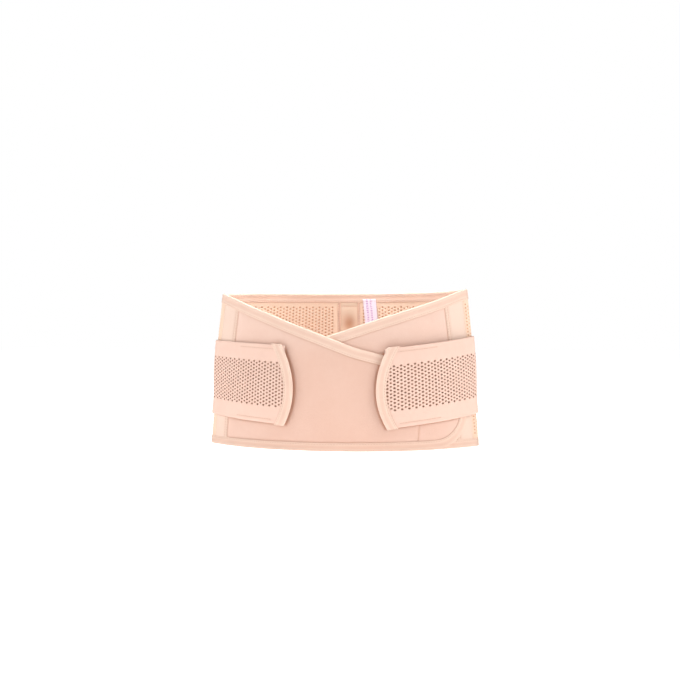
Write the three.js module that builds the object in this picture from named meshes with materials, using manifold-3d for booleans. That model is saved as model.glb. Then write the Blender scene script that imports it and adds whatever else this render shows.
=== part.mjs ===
// A postpartum pelvic belt, fastened to a loop and standing on its lower edge.
// Every piece is drawn flat, as its cutting pattern, and is then bent onto the loop's form.
// Flat coordinates: u runs along the loop's girth from the front's middle, z is height, n is the outward layer.
// Millimetres, +Z up, the wearer's front towards -Y.
import * as THREE from "three";
import { mergeVertices } from "three/addons/utils/BufferGeometryUtils.js";
import Module from "manifold-3d";

const wasm = await Module();
wasm.setup();

// Driving sizes of the loop
const HEIGHT = 172;
const HALF_WIDTH = 150;
const HALF_DEPTH = 70;
const CREASE_RADIUS = 7;

// The loop's section at several heights, as shares of the half width and half depth at the floor
const SECTIONS = [
  { height: 0, width: 1, front: 1, back: 1 },
  { height: 0.2, width: 0.995, front: 0.992, back: 0.992 },
  { height: 0.45, width: 0.976, front: 0.978, back: 0.975 },
  { height: 0.7, width: 0.953, front: 0.95, back: 0.945 },
  { height: 1, width: 0.914, front: 0.915, back: 0.9 },
];

// Soft dents and swells: place along the loop (0 front middle, 0.5 back middle, 0.25 right crease),
// height, reach along and up as shares of the height, and outward push as a share of the crease radius
const FOLDS = [
  { name: "right strap's pull", along: 0.25, height: 0.3, reach: 0.22, rise: 0.16, push: -0.3 },
  { name: "left strap's pull", along: 0.75, height: 0.3, reach: 0.22, rise: 0.16, push: -0.32 },
  { name: "front hollow", along: 0.04, height: 0.36, reach: 0.24, rise: 0.3, push: -0.3 },
  { name: "back slump", along: 0.44, height: 0.8, reach: 0.3, rise: 0.26, push: -0.35 },
  { name: "back swell", along: 0.58, height: 0.55, reach: 0.34, rise: 0.3, push: 0.3 },
];

// Cloth thicknesses
const MESH_THICKNESS = 1.6;
const PANEL_THICKNESS = 2;
const SEAM_THICKNESS = 2.4;
const TAPE_THICKNESS = 2.8;
const STRAP_THICKNESS = 1.6;
const HOOK_THICKNESS = 1.2;
const LABEL_THICKNESS = 0.8;
const GAP = 0.3;
const CROSSING_SLACK = 0.2;

// Widths of tapes and strips
const TOP_TAPE = 11;
const BOTTOM_TAPE = 9;
const SEAM_WIDTH = 5.5;
const SEAM_LEAN = 8;
const SIDE_STRIP = 20;
const MESH_WRAP = 5.5;
const TAPE_REACH = 1;
const CENTRE_PANEL = 21;
const BACK_SEAM_WIDTH = 3.6;

// The crossed front panels: each starts at its own side and ends in a round tongue near the other side
const TONGUE_HEIGHT = 86;
const TONGUE_SETBACK = 14.5;
const NECKLINE_CROWN = 2.2;
const OUTER_NECK = { along: 0.12, height: 0.636 };
const INNER_NECK = { along: 0.12, height: 0.688 };

// The side straps: middle height at the back seam, at the crease and at the front end, as shares of the height,
// and the end's place as a share of the way from the front's middle to the crease
const STRAP_HEIGHT = 84;
const SELVEDGE = 18;
const STRAP_END_BULGE = 11.5;
const STRAP_TAPE = 10.5;
const STRAP_TAPE_OVERHANG = 1;
const STRAP_LIFT = 0.9;
const HOOK_LENGTH = 46;
const HOOK_MARGIN = 3.5;
const STRAPS = [
  { name: "left", side: -1, end: 0.275, back: 0.405, crease: 0.442, front: 0.4 },
  { name: "right", side: 1, end: 0.245, back: 0.405, crease: 0.46, front: 0.376 },
];

// The open field of the straps' elastic
const HOLE_WIDTH = 7.6;
const HOLE_PITCH = 12.6;
const HOLE_ROWS = 3;
const HOLE_SIDES = 6;
const HOLE_MARGIN = 3;

// The sewn-in label inside the back
const LABEL_WIDTH = 17;
const LABEL_LENGTH = 38;
const LABEL_SETBACK = 4;
const LABEL_TILT = 5;

// How finely the loop is divided
const ARC_STEPS = 22;
const CREASE_STEPS = 5;
const HEIGHT_STEPS = 6;
const CURVE_STEPS = 9;

// Section sizes at a height share, between the rows of the table
function sectionAt(share) {
  const upper = Math.max(1, SECTIONS.findIndex((row) => row.height >= share));
  const low = SECTIONS[upper - 1];
  const high = SECTIONS[upper];
  const t = (share - low.height) / (high.height - low.height);
  const mix = (key) => THREE.MathUtils.lerp(low[key], high[key], t);
  return arcsOf(HALF_WIDTH * mix("width"), HALF_DEPTH * mix("front"), HALF_DEPTH * mix("back"));
}

// A lens of two flat arcs, front and back, joined by a small arc at each crease
function arcsOf(halfWidth, front, back) {
  const reach = halfWidth - CREASE_RADIUS;
  const arc = (depth) => {
    const radius = (reach ** 2 + depth ** 2 - CREASE_RADIUS ** 2) / (2 * (depth - CREASE_RADIUS));
    return { radius, centre: radius - depth, angle: Math.atan2(reach, radius - depth) };
  };
  return { reach, front: arc(front), back: arc(back) };
}

const MIDDLE = sectionAt(0.5);
const FRONT_HALF = MIDDLE.front.radius * MIDDLE.front.angle;
const BACK_HALF = MIDDLE.back.radius * MIDDLE.back.angle;
const CREASE = CREASE_RADIUS * (Math.PI - MIDDLE.front.angle - MIDDLE.back.angle);
const BACK_MIDDLE = FRONT_HALF + CREASE + BACK_HALF;
const GIRTH = 2 * BACK_MIDDLE;

// The point of the loop at u and height share, and its outward direction, before any fold
function smoothPoint(u, share) {
  const section = sectionAt(share);
  const side = u < BACK_MIDDLE ? 1 : -1;
  const way = u < BACK_MIDDLE ? u : GIRTH - u;
  let turn, radius, x, y;
  if (way <= FRONT_HALF) {
    turn = (way / FRONT_HALF) * section.front.angle;
    [radius, x, y] = [section.front.radius, 0, section.front.centre];
  } else if (way <= FRONT_HALF + CREASE) {
    const t = (way - FRONT_HALF) / CREASE;
    turn = THREE.MathUtils.lerp(section.front.angle, Math.PI - section.back.angle, t);
    [radius, x, y] = [CREASE_RADIUS, section.reach, 0];
  } else {
    turn = Math.PI - ((BACK_MIDDLE - way) / BACK_HALF) * section.back.angle;
    [radius, x, y] = [section.back.radius, 0, -section.back.centre];
  }
  const out = new THREE.Vector3(side * Math.sin(turn), -Math.cos(turn), 0);
  const point = new THREE.Vector3(side * x, y, share * HEIGHT).addScaledVector(out, radius);
  return { point, out };
}

// How far the folds push the loop out at u and height share: a sum of bell shapes
function foldPush(u, share) {
  let push = 0;
  for (const fold of FOLDS) {
    let away = Math.abs(u / GIRTH - fold.along);
    away = Math.min(away, 1 - away) * (GIRTH / HEIGHT);
    const bell = (away / fold.reach) ** 2 + ((share - fold.height) / fold.rise) ** 2;
    push += fold.push * CREASE_RADIUS * Math.exp(-bell);
  }
  return push;
}

// Stations along the loop, closer together round the creases, and rows up it
function spread(from, to, steps) {
  return Array.from({ length: steps }, (_, i) => THREE.MathUtils.lerp(from, to, i / steps));
}
const STATIONS = [
  ...spread(0, FRONT_HALF, ARC_STEPS / 2),
  ...spread(FRONT_HALF, FRONT_HALF + CREASE, CREASE_STEPS),
  ...spread(FRONT_HALF + CREASE, BACK_MIDDLE + BACK_HALF, ARC_STEPS),
  ...spread(BACK_MIDDLE + BACK_HALF, GIRTH - FRONT_HALF, CREASE_STEPS),
  ...spread(GIRTH - FRONT_HALF, GIRTH, ARC_STEPS / 2),
  GIRTH,
];
const ROWS = [...spread(0, HEIGHT, HEIGHT_STEPS), HEIGHT];
const GRID = STATIONS.map((u) =>
  ROWS.map((z) => {
    const { point, out } = smoothPoint(u, z / HEIGHT);
    return { point: point.addScaledVector(out, foldPush(u, z / HEIGHT)), out };
  }),
);

// Which cell of a rising list a value lies in, and how far along that cell
function cellOf(list, value) {
  let i = list.findIndex((edge) => edge > value) - 1;
  if (i < 0) i = list.length - 2;
  return [i, (value - list[i]) / (list[i + 1] - list[i])];
}

// Bends a flat point onto the loop: the grid's point and direction, mixed between four corners
function bend(u, z, n) {
  const [i, s] = cellOf(STATIONS, THREE.MathUtils.euclideanModulo(u, GIRTH));
  const [j, t] = cellOf(ROWS, Math.min(z, HEIGHT - 1e-6));
  const mix = (key) => {
    const low = GRID[i][j][key].clone().lerp(GRID[i + 1][j][key], s);
    return low.lerp(GRID[i][j + 1][key].clone().lerp(GRID[i + 1][j + 1][key], s), t);
  };
  const bent = mix("point").addScaledVector(mix("out"), n);
  return bent.setZ(z);
}

// Turns a closed geometry into a manifold-3d solid, and back: the triangles that a cut solid keeps of its source
function solidOf(geometry) {
  const bare = geometry.index ? geometry.toNonIndexed() : geometry.clone();
  bare.deleteAttribute("normal");
  bare.deleteAttribute("uv");
  const merged = mergeVertices(bare, 1e-4);
  const vertProperties = merged.getAttribute("position").array;
  const triVerts = new Uint32Array(merged.index.array);
  return new wasm.Manifold(new wasm.Mesh({ numProp: 3, vertProperties, triVerts }));
}
function facesFrom(source, solid) {
  const { vertProperties, triVerts, runIndex, runOriginalID } = solid.getMesh();
  const corner = (i) => [0, 1, 2].map((k) => vertProperties[triVerts[i] * 3 + k]);
  const triangles = [];
  runOriginalID.forEach((id, run) => {
    if (id !== source.originalID()) return;
    for (let i = runIndex[run]; i < runIndex[run + 1]; i += 3) {
      triangles.push([corner(i), corner(i + 1), corner(i + 2)]);
    }
  });
  return triangles;
}

// A flat pattern of some thickness, its middle at n = 0
function cut(shape, thickness) {
  const options = { depth: thickness, bevelEnabled: false, curveSegments: CURVE_STEPS };
  return solidOf(new THREE.ExtrudeGeometry(shape, options).translate(0, 0, -thickness / 2));
}
function outline(points) {
  return new THREE.Shape(points.map(([u, z]) => new THREE.Vector2(u, z)));
}
function block(u0, u1, z0, z1, thickness) {
  return cut(outline([[u0, z0], [u1, z0], [u1, z1], [u0, z1]]), thickness);
}

// Cuts a flat solid along the loop's stations and rows, so that each cell can bend. The faces that a cut makes
// are left out, and points that meet on a cut are made one
const NEAR = 1e-3;
const far = (a, b) => Math.hypot(a[0] - b[0], a[1] - b[1], a[2] - b[2]);
function cellFaces(flat) {
  const source = flat.asOriginal();
  const { min, max } = source.boundingBox();
  const crossed = (axis, lines) =>
    lines.filter((line) => line > min[axis] + NEAR && line < max[axis] - NEAR).map((line) => ({ axis, line }));
  const turns = [...STATIONS.slice(0, -1).map((u) => u - GIRTH), ...STATIONS];
  const cuts = [...crossed(0, turns), ...crossed(1, ROWS)];
  let cells = [source];
  for (const { axis, line } of cuts) {
    const halves = cells.flatMap((cell) => cell.splitByPlane([1 - axis, axis, 0], line));
    cells = halves.filter((half) => !half.isEmpty());
  }
  const cutsAt = (p) => cuts.filter(({ axis, line }) => Math.abs(p[axis] - line) < NEAR);
  const seams = new Map(cuts.map((at) => [at, []]));
  const weld = (p) => {
    const at = cutsAt(p);
    const twin = at.flatMap((line) => seams.get(line)).find((q) => far(p, q) < NEAR);
    if (!twin) at.forEach((line) => seams.get(line).push(p));
    return twin ?? p;
  };
  const triangles = cells.flatMap((cell) => facesFrom(source, cell)).map((triangle) => triangle.map(weld));
  return stitch(triangles, seams, cutsAt).filter(([a, b, c]) => a !== b && b !== c && c !== a);
}

// Where a triangle's edge on a cut meets two shorter edges of the next cell, the triangle is split to match them
function stitch(triangles, seams, cutsAt) {
  const between = (a, p, b) =>
    p !== a && p !== b && far(a, p) + far(p, b) < far(a, b) + NEAR / 100;
  const halve = ([a, b, c], turns = 3) => {
    if (turns === 0) return [[a, b, c]];
    const at = cutsAt(a).find((line) => cutsAt(b).includes(line));
    const p = at && seams.get(at).find((point) => between(a, point, b));
    return p ? [...halve([a, p, c]), ...halve([p, b, c])] : halve([b, c, a], turns - 1);
  };
  return triangles.flatMap((triangle) => halve(triangle));
}

// The belt's own group, and each piece: bent from its flat solid and given its cloth
const belt = new THREE.Group();
belt.name = "pelvic_belt";

const CLOTHS = {
  mesh: new THREE.MeshStandardMaterial({ color: 0xf4c6ab, roughness: 0.9, metalness: 0 }),
  panel: new THREE.MeshStandardMaterial({ color: 0xf8cdb9, roughness: 0.95, metalness: 0 }),
  tape: new THREE.MeshStandardMaterial({ color: 0xfbe0ca, roughness: 0.8, metalness: 0 }),
  satin: new THREE.MeshStandardMaterial({ color: 0xf6d3b4, roughness: 0.55, metalness: 0 }),
  elastic: new THREE.MeshStandardMaterial({ color: 0xfad8c4, roughness: 0.85, metalness: 0 }),
  hook: new THREE.MeshStandardMaterial({ color: 0xf0cbb2, roughness: 0.6, metalness: 0 }),
  label: new THREE.MeshStandardMaterial({ color: 0xfbf4fa, roughness: 0.5, metalness: 0 }),
};

function addPiece(name, flat, cloth, layer = () => 0) {
  const positions = cellFaces(flat).flat().flatMap(([u, z, n]) => bend(u, z, n + layer(u)).toArray());
  const geometry = new THREE.BufferGeometry();
  geometry.setAttribute("position", new THREE.Float32BufferAttribute(positions, 3));
  geometry.computeVertexNormals();
  const mesh = new THREE.Mesh(geometry, CLOTHS[cloth]);
  mesh.name = name;
  belt.add(mesh);
}

// Where the strips beside each crease begin and end, counted from the front's middle
const STRIP_OUT = FRONT_HALF - MESH_WRAP;
const STRIP_IN = STRIP_OUT - GAP - SIDE_STRIP;
const SEAM_OUT = STRIP_IN - GAP;
const SEAM_IN = SEAM_OUT - SEAM_WIDTH;
const PANEL_EDGE = SEAM_IN - GAP;

// The front's and the back's tapes meet a little past the start of each crease
const TAPE_JOIN = FRONT_HALF + TAPE_REACH;
const BACK_TAPE_JOIN = TAPE_JOIN + GAP;

// The crossed panels lie one over the other: the outer one rises from its own seam to the far seam
const CROSSING = TAPE_THICKNESS + GAP + CROSSING_SLACK;
function outerLayer(u) {
  return CROSSING * THREE.MathUtils.clamp((u + PANEL_EDGE) / (2 * PANEL_EDGE), 0, 1);
}
function innerLayer(u) {
  return outerLayer(u) - CROSSING;
}

// One front panel's whole cut, drawn for the panel that starts at the left crease. Insets shrink it for its tape:
// a slightly crowned top edge to the neck, a gentler one to the tongue, the round tongue, and the straight bottom edge
function wingShape(neck, topInset, bottomInset, startsAt) {
  const radius = (TONGUE_HEIGHT - topInset - bottomInset) / 2;
  const tongue = new THREE.Vector2(FRONT_HALF - TONGUE_SETBACK - TONGUE_HEIGHT / 2, bottomInset + radius);
  const corner = new THREE.Vector2(-FRONT_HALF, HEIGHT);
  const bendPoint = new THREE.Vector2(FRONT_HALF * neck.along, HEIGHT * neck.height);
  const down = Math.atan2(corner.y - bendPoint.y, bendPoint.x - corner.x);
  const drop = topInset / Math.cos(down);
  const top = (u) => corner.y - drop - (u - corner.x) * Math.tan(down);
  const neckTop = new THREE.Vector2(bendPoint.x, top(bendPoint.x));
  const crown = new THREE.Vector2((corner.x + neckTop.x) / 2, (top(corner.x) + neckTop.y) / 2 + 2 * NECKLINE_CROWN);
  const reach = tongue.clone().sub(neckTop);
  const lean = Math.atan2(reach.y, reach.x) + Math.asin(radius / reach.length());
  const shape = new THREE.Shape();
  shape.moveTo(startsAt, bottomInset);
  shape.lineTo(tongue.x, bottomInset);
  shape.absarc(tongue.x, tongue.y, radius, -Math.PI / 2, lean + Math.PI / 2, false);
  shape.lineTo(neckTop.x, neckTop.y);
  shape.quadraticCurveTo(crown.x, crown.y, corner.x, top(corner.x));
  shape.lineTo(startsAt, top(corner.x));
  return shape;
}

// The flat cuts of one front side: its panel, seam, side strip and wrap of mesh, and the tape round them
function wingCuts(neck) {
  const thick = 2 * TAPE_THICKNESS;
  const within = wingShape(neck, TOP_TAPE, BOTTOM_TAPE, -FRONT_HALF - MESH_WRAP);
  const cloth = wingShape(neck, TOP_TAPE + GAP, BOTTOM_TAPE + GAP, -BACK_TAPE_JOIN);
  const strip = (u0, u1, lean0, lean1) => cut(outline([
    [u0 - lean0 / 2, 0],
    [u1 - lean1 / 2, 0],
    [u1 + lean1 / 2, HEIGHT],
    [u0 + lean0 / 2, HEIGHT],
  ]), thick);
  const slab = (u0, u1, thickness, lean0 = SEAM_LEAN, lean1 = SEAM_LEAN) =>
    cut(cloth, thickness).intersect(strip(u0, u1, lean0, lean1));
  return {
    tape: cut(wingShape(neck, 0, 0, -TAPE_JOIN), TAPE_THICKNESS).subtract(cut(within, thick)),
    panel: slab(-PANEL_EDGE, 2 * FRONT_HALF, PANEL_THICKNESS),
    seam: slab(-SEAM_OUT, -SEAM_IN, SEAM_THICKNESS),
    strip: slab(-STRIP_OUT, -STRIP_IN, PANEL_THICKNESS, 0),
    wrap: slab(-2 * FRONT_HALF, -STRIP_OUT - GAP, MESH_THICKNESS, 0, 0),
  };
}

// The same cut for the panel that starts at the right crease
function mirrored(solid) {
  return solid.mirror([1, 0, 0]);
}

const outer = wingCuts(OUTER_NECK);
const inner = wingCuts(INNER_NECK);
addPiece("outer_panel", outer.panel, "panel", outerLayer);
addPiece("outer_binding", outer.tape, "tape", outerLayer);
addPiece("side_seam_left", outer.seam, "tape");
addPiece("side_strip_left", outer.strip, "tape");
addPiece("inner_panel", mirrored(inner.panel), "panel", innerLayer);
addPiece("inner_binding", mirrored(inner.tape), "tape", innerLayer);
addPiece("side_seam_right", mirrored(inner.seam), "tape");
addPiece("side_strip_right", mirrored(inner.strip), "tape");

// The back: a middle panel between two seams, and a half of open mesh to each side that wraps the crease
const CENTRE_EDGE = CENTRE_PANEL / 2;
const BACK_SEAM_OUT = CENTRE_EDGE + GAP + BACK_SEAM_WIDTH;
const BACK_TOP = HEIGHT - TOP_TAPE - GAP;
const BACK_BOTTOM = BOTTOM_TAPE + GAP;

function backBlock(u0, u1, thickness) {
  return block(u0, u1, BACK_BOTTOM, BACK_TOP, thickness);
}
function backMesh(wrap, side) {
  const flat = backBlock(BACK_TAPE_JOIN - GAP / 5, BACK_MIDDLE - BACK_SEAM_OUT - GAP, MESH_THICKNESS);
  return side > 0 ? flat.add(mirrored(wrap)) : mirrored(flat).add(wrap);
}
addPiece("back_mesh_right", backMesh(inner.wrap, 1), "mesh");
addPiece("back_mesh_left", backMesh(outer.wrap, -1), "mesh");
addPiece("centre_back_panel", backBlock(BACK_MIDDLE - CENTRE_EDGE, BACK_MIDDLE + CENTRE_EDGE, PANEL_THICKNESS), "satin");
for (const [name, side] of [["right", -1], ["left", 1]]) {
  const seam = [side * (CENTRE_EDGE + GAP), side * BACK_SEAM_OUT].sort((a, b) => a - b);
  addPiece(`back_seam_${name}`, backBlock(BACK_MIDDLE + seam[0], BACK_MIDDLE + seam[1], SEAM_THICKNESS), "tape");
}
addPiece("back_top_binding", block(BACK_TAPE_JOIN, GIRTH - BACK_TAPE_JOIN, HEIGHT - TOP_TAPE, HEIGHT, TAPE_THICKNESS), "tape");
addPiece("back_bottom_binding", block(BACK_TAPE_JOIN, GIRTH - BACK_TAPE_JOIN, 0, BOTTOM_TAPE, TAPE_THICKNESS), "tape");

// A side strap, drawn for the right side. It starts on the back seam, turns the crease and ends on the front
const STRAP_START = BACK_MIDDLE - CENTRE_EDGE - GAP;
const CREASE_MIDDLE = FRONT_HALF + CREASE / 2;

function strapMiddle(strap, u) {
  const [near, far, from, to] =
    u < CREASE_MIDDLE
      ? [strap.front, strap.crease, strap.end * FRONT_HALF, CREASE_MIDDLE]
      : [strap.crease, strap.back, CREASE_MIDDLE, STRAP_START];
  return HEIGHT * THREE.MathUtils.mapLinear(u, from, to, near, far);
}

// The strap's outline from its start to an end that lies inset from the tip, with a bulging end edge
function strapShape(strap, inset, overhang) {
  const tip = strap.end * FRONT_HALF + inset;
  const corner = tip + STRAP_END_BULGE;
  const half = STRAP_HEIGHT / 2 + overhang;
  const edge = (u, side) => strapMiddle(strap, u) + side * half;
  const shape = new THREE.Shape();
  shape.moveTo(STRAP_START, edge(STRAP_START, 1));
  shape.lineTo(CREASE_MIDDLE, edge(CREASE_MIDDLE, 1));
  shape.lineTo(corner, edge(corner, 1));
  const bow = 2 * tip - corner;
  shape.quadraticCurveTo(bow, strapMiddle(strap, tip), corner, edge(corner, -1));
  shape.lineTo(CREASE_MIDDLE, edge(CREASE_MIDDLE, -1));
  shape.lineTo(STRAP_START, edge(STRAP_START, -1));
  return shape;
}

// The open field: hexagonal holes in staggered columns between the two selvedges
function strapHoles(strap) {
  const tip = strap.end * FRONT_HALF + STRAP_TAPE + STRAP_END_BULGE;
  const field = STRAP_HEIGHT - 2 * SELVEDGE - 2 * HOLE_MARGIN;
  const step = (field - HOLE_WIDTH) / (HOLE_ROWS - 1);
  const columns = Math.floor((STRAP_START - BACK_SEAM_WIDTH - HOLE_MARGIN - tip) / HOLE_PITCH);
  const holes = [];
  for (let column = 0; column < columns; column++) {
    const u = tip + HOLE_WIDTH / 2 + column * HOLE_PITCH;
    const odd = column % 2;
    for (let row = 0; row < HOLE_ROWS - odd; row++) {
      const z = strapMiddle(strap, u) + (row - (HOLE_ROWS - 1 - odd) / 2) * step;
      const prism = new THREE.CylinderGeometry(HOLE_WIDTH / 2, HOLE_WIDTH / 2, 2 * STRAP_THICKNESS, HOLE_SIDES);
      holes.push(solidOf(prism.rotateX(Math.PI / 2).translate(u, z, 0)));
    }
  }
  return wasm.Manifold.union(holes);
}

// The strap's layer at u: low on the back, and high enough on the front to clear what lies under it
const BACK_SEAT = SEAM_THICKNESS / 2 + GAP + STRAP_THICKNESS / 2;
const HOOK_SEAT = GAP + HOOK_THICKNESS + GAP + STRAP_THICKNESS / 2;
function strapLayers(strap) {
  const end = strap.end * FRONT_HALF;
  const hookStart = end + STRAP_END_BULGE + STRAP_TAPE + HOOK_LENGTH;
  const panelAt = (u) => outerLayer(strap.side * u);
  const under = strap.side > 0 ? TAPE_THICKNESS / 2 : PANEL_THICKNESS / 2;
  const tongueEnd = FRONT_HALF - TONGUE_SETBACK + GAP;
  const rows = [
    { u: end, n: panelAt(end) + under + HOOK_SEAT + STRAP_LIFT },
    { u: hookStart, n: panelAt(hookStart) + under + HOOK_SEAT },
  ];
  if (strap.side > 0) {
    rows.push({ u: tongueEnd, n: CROSSING + TAPE_THICKNESS / 2 + GAP + STRAP_THICKNESS / 2 });
    rows.push({ u: CREASE_MIDDLE, n: BACK_SEAT + GAP });
  } else {
    rows.push({ u: SEAM_OUT, n: BACK_SEAT + GAP });
  }
  rows.push({ u: FRONT_HALF + CREASE, n: BACK_SEAT });
  rows.push({ u: BACK_MIDDLE, n: BACK_SEAT });
  return rows;
}
function layerAt(rows, u) {
  if (u <= rows[0].u) return rows[0].n;
  const k = rows.findIndex((row) => row.u >= u);
  return THREE.MathUtils.mapLinear(u, rows[k - 1].u, rows[k].u, rows[k - 1].n, rows[k].n);
}

function addStrap(strap) {
  const rows = strapLayers(strap);
  const turned = (solid) => (strap.side > 0 ? solid : mirrored(solid));
  const layer = (lift) => (u) => layerAt(rows, Math.abs(u)) + lift;
  const end = strap.end * FRONT_HALF;
  const thick = 2 * TAPE_THICKNESS;

  const body = cut(strapShape(strap, STRAP_TAPE + GAP, 0), STRAP_THICKNESS).subtract(strapHoles(strap));
  addPiece(`strap_${strap.name}`, turned(body), "elastic", layer(0));

  const inside = cut(strapShape(strap, STRAP_TAPE, 2 * STRAP_TAPE_OVERHANG), thick);
  const tape = cut(strapShape(strap, 0, STRAP_TAPE_OVERHANG), TAPE_THICKNESS).subtract(inside);
  addPiece(`strap_tape_${strap.name}`, turned(tape), "tape", layer(0));

  const hookEnd = end + STRAP_END_BULGE + STRAP_TAPE;
  const tall = STRAP_HEIGHT / 2 - HOOK_MARGIN;
  const patch = outline(
    [[hookEnd, -tall], [hookEnd + HOOK_LENGTH, -tall], [hookEnd + HOOK_LENGTH, tall], [hookEnd, tall]]
      .map(([u, rise]) => [u, strapMiddle(strap, u) + rise]),
  );
  const under = -(STRAP_THICKNESS + HOOK_THICKNESS) / 2 - GAP;
  addPiece(`hook_patch_${strap.name}`, turned(cut(patch, HOOK_THICKNESS)), "hook", layer(under));
}
for (const strap of STRAPS) addStrap(strap);

// The label hangs inside the back from under the top tape, on the right seam's far side, a little askew
function labelShape() {
  const lean = THREE.MathUtils.degToRad(LABEL_TILT);
  const corner = new THREE.Vector2(BACK_MIDDLE - BACK_SEAM_OUT - LABEL_SETBACK - LABEL_WIDTH, BACK_TOP);
  const across = new THREE.Vector2(LABEL_WIDTH, 0);
  const down = new THREE.Vector2(-Math.sin(lean), -Math.cos(lean)).multiplyScalar(LABEL_LENGTH);
  const foot = corner.clone().add(down);
  return new THREE.Shape([corner, foot, foot.clone().add(across), corner.clone().add(across)]);
}
const LABEL_LAYER = -(MESH_THICKNESS + LABEL_THICKNESS) / 2 - GAP;
addPiece("label", cut(labelShape(), LABEL_THICKNESS), "label", () => LABEL_LAYER);

// The origin lies on the surface that the belt stands on, under the middle of the whole belt
const middle = new THREE.Box3().setFromObject(belt, true).getCenter(new THREE.Vector3());
belt.position.set(-middle.x, -middle.y, 0);

export default belt;
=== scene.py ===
# %% [markdown]
# # A pelvic support belt, dressed round its frame
# The belt is a closed loop of cloth that stands on its lower edge. Two front panels cross like the sides of
# a wrap dress, the back is open mesh, and two perforated elastic straps come round the creases and cling to
# the front. Every piece of such a belt starts as a flat pattern, so every piece here is worked out flat as
# well, in millimetres, and one function then bends it onto the loop. A pattern point has three numbers: u
# along the loop's girth from the front's middle, z up, and n, the layer, outward from the cloth's middle.

import bpy
import numpy as np
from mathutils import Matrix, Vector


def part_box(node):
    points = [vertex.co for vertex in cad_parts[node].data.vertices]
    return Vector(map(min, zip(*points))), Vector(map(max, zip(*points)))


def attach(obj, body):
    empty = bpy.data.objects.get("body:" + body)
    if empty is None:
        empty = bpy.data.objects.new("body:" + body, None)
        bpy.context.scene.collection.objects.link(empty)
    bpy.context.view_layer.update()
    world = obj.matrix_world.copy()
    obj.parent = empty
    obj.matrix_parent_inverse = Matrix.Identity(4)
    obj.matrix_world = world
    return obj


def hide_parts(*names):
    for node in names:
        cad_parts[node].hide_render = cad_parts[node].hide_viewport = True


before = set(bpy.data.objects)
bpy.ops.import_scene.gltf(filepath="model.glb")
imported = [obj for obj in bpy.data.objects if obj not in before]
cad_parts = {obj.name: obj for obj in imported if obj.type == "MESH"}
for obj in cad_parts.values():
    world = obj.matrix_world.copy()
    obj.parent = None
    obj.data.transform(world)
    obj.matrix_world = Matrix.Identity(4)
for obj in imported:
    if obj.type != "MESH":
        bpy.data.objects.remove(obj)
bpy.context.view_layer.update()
MM = 0.001

# %% [markdown]
# ## The camera
# The camera comes first. The belt's four outer corners and the lines of its seams fix where the
# photographer stood: a little to the belt's right, about 1.1 m away, with the lens at about three quarters
# of its height.

# %% Camera
PICTURE_PIXELS = 680
FOCAL_PIXELS = 984.5
SENSOR_WIDTH = 36.0
CAMERA_TURN = np.radians(6.27)
CAMERA_DISTANCE = 1.109
CAMERA_HEIGHT = 0.1245
CAMERA_YAW = np.radians(0.186)
CAMERA_DIP = np.radians(0.379)



def new_object(name, data):
    """An object with this name and data, linked into the scene."""
    made = bpy.data.objects.new(name, data)
    bpy.context.scene.collection.objects.link(made)
    return made


camera = new_object("camera", bpy.data.cameras.new("camera"))
camera.location = (
    CAMERA_DISTANCE * np.sin(CAMERA_TURN),
    -CAMERA_DISTANCE * np.cos(CAMERA_TURN),
    CAMERA_HEIGHT,
)
camera.rotation_euler = (np.pi / 2 - CAMERA_DIP, 0, CAMERA_TURN + CAMERA_YAW)
camera.data.sensor_width = SENSOR_WIDTH
camera.data.lens = FOCAL_PIXELS / PICTURE_PIXELS * SENSOR_WIDTH
camera.data.clip_start = 0.05
camera.data.clip_end = 20
bpy.context.scene.camera = camera
print("camera lens", round(camera.data.lens, 1), "mm")

# %% [markdown]
# ## The loop
# Seen from above, the belt is a lens: two flat arcs that meet in a small round crease at each side. Each
# height has its own lens, a little smaller towards the top, and soft dents push the cloth in or out. The
# same sizes shape the frame's solids, so what is bent with this function lies where they lie.

# %% Sizes of the loop
HEIGHT = 172.0
HALF_WIDTH = 150.0
HALF_DEPTH = 70.0
CREASE_RADIUS = 7.0

# Shares: height, half width, front depth, back depth
SECTIONS = np.array([
    (0.00, 1.000, 1.000, 1.000),
    (0.20, 0.995, 0.992, 0.992),
    (0.45, 0.976, 0.978, 0.975),
    (0.70, 0.953, 0.950, 0.945),
    (1.00, 0.914, 0.915, 0.900),
])
SECTION_CURVES = [np.polyfit(SECTIONS[:, 0], SECTIONS[:, k], 3) for k in (1, 2, 3)]

# Dents: place along the loop, height, reach along, reach up, outward push as a share of the crease radius
FOLDS = (
    (0.25, 0.30, 0.22, 0.16, -0.30),
    (0.75, 0.30, 0.22, 0.16, -0.32),
    (0.04, 0.36, 0.24, 0.30, -0.30),
    (0.44, 0.80, 0.30, 0.26, -0.35),
    (0.58, 0.55, 0.34, 0.30, 0.30),
)

# Slow waves of the cloth: waves round the loop, waves up it, phase, height in millimetres
RIPPLES = ((5, 0.8, 0.4, 0.28), (9, -0.6, 2.1, 0.18), (14, 1.1, 4.0, 0.10))

# The upper corners, which the cloth's pull lifts or lowers: place along the loop, reach, rise in
# millimetres
CORNERS = ((-167.0, 42.0, -2.2), (167.0, 36.0, 1.8))


# %% The bending function
def arc(width, depth):
    """One side of the lens: radius = (reach² + depth² - r²) / 2(depth - r), where r is the crease's radius
    and reach = width - r. Also gives how far its centre lies behind the middle, and its half angle."""
    reach = width - CREASE_RADIUS
    radius = (reach**2 + depth**2 - CREASE_RADIUS**2) / (2 * (depth - CREASE_RADIUS))
    return radius, radius - depth, np.arctan2(reach, radius - depth)


def lens(share):
    """Half width, front arc and back arc of the lens at a share of the height."""
    width, front, back = (np.polyval(curve, share) for curve in SECTION_CURVES)
    width = HALF_WIDTH * width
    return width, arc(width, HALF_DEPTH * front), arc(width, HALF_DEPTH * back)


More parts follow.
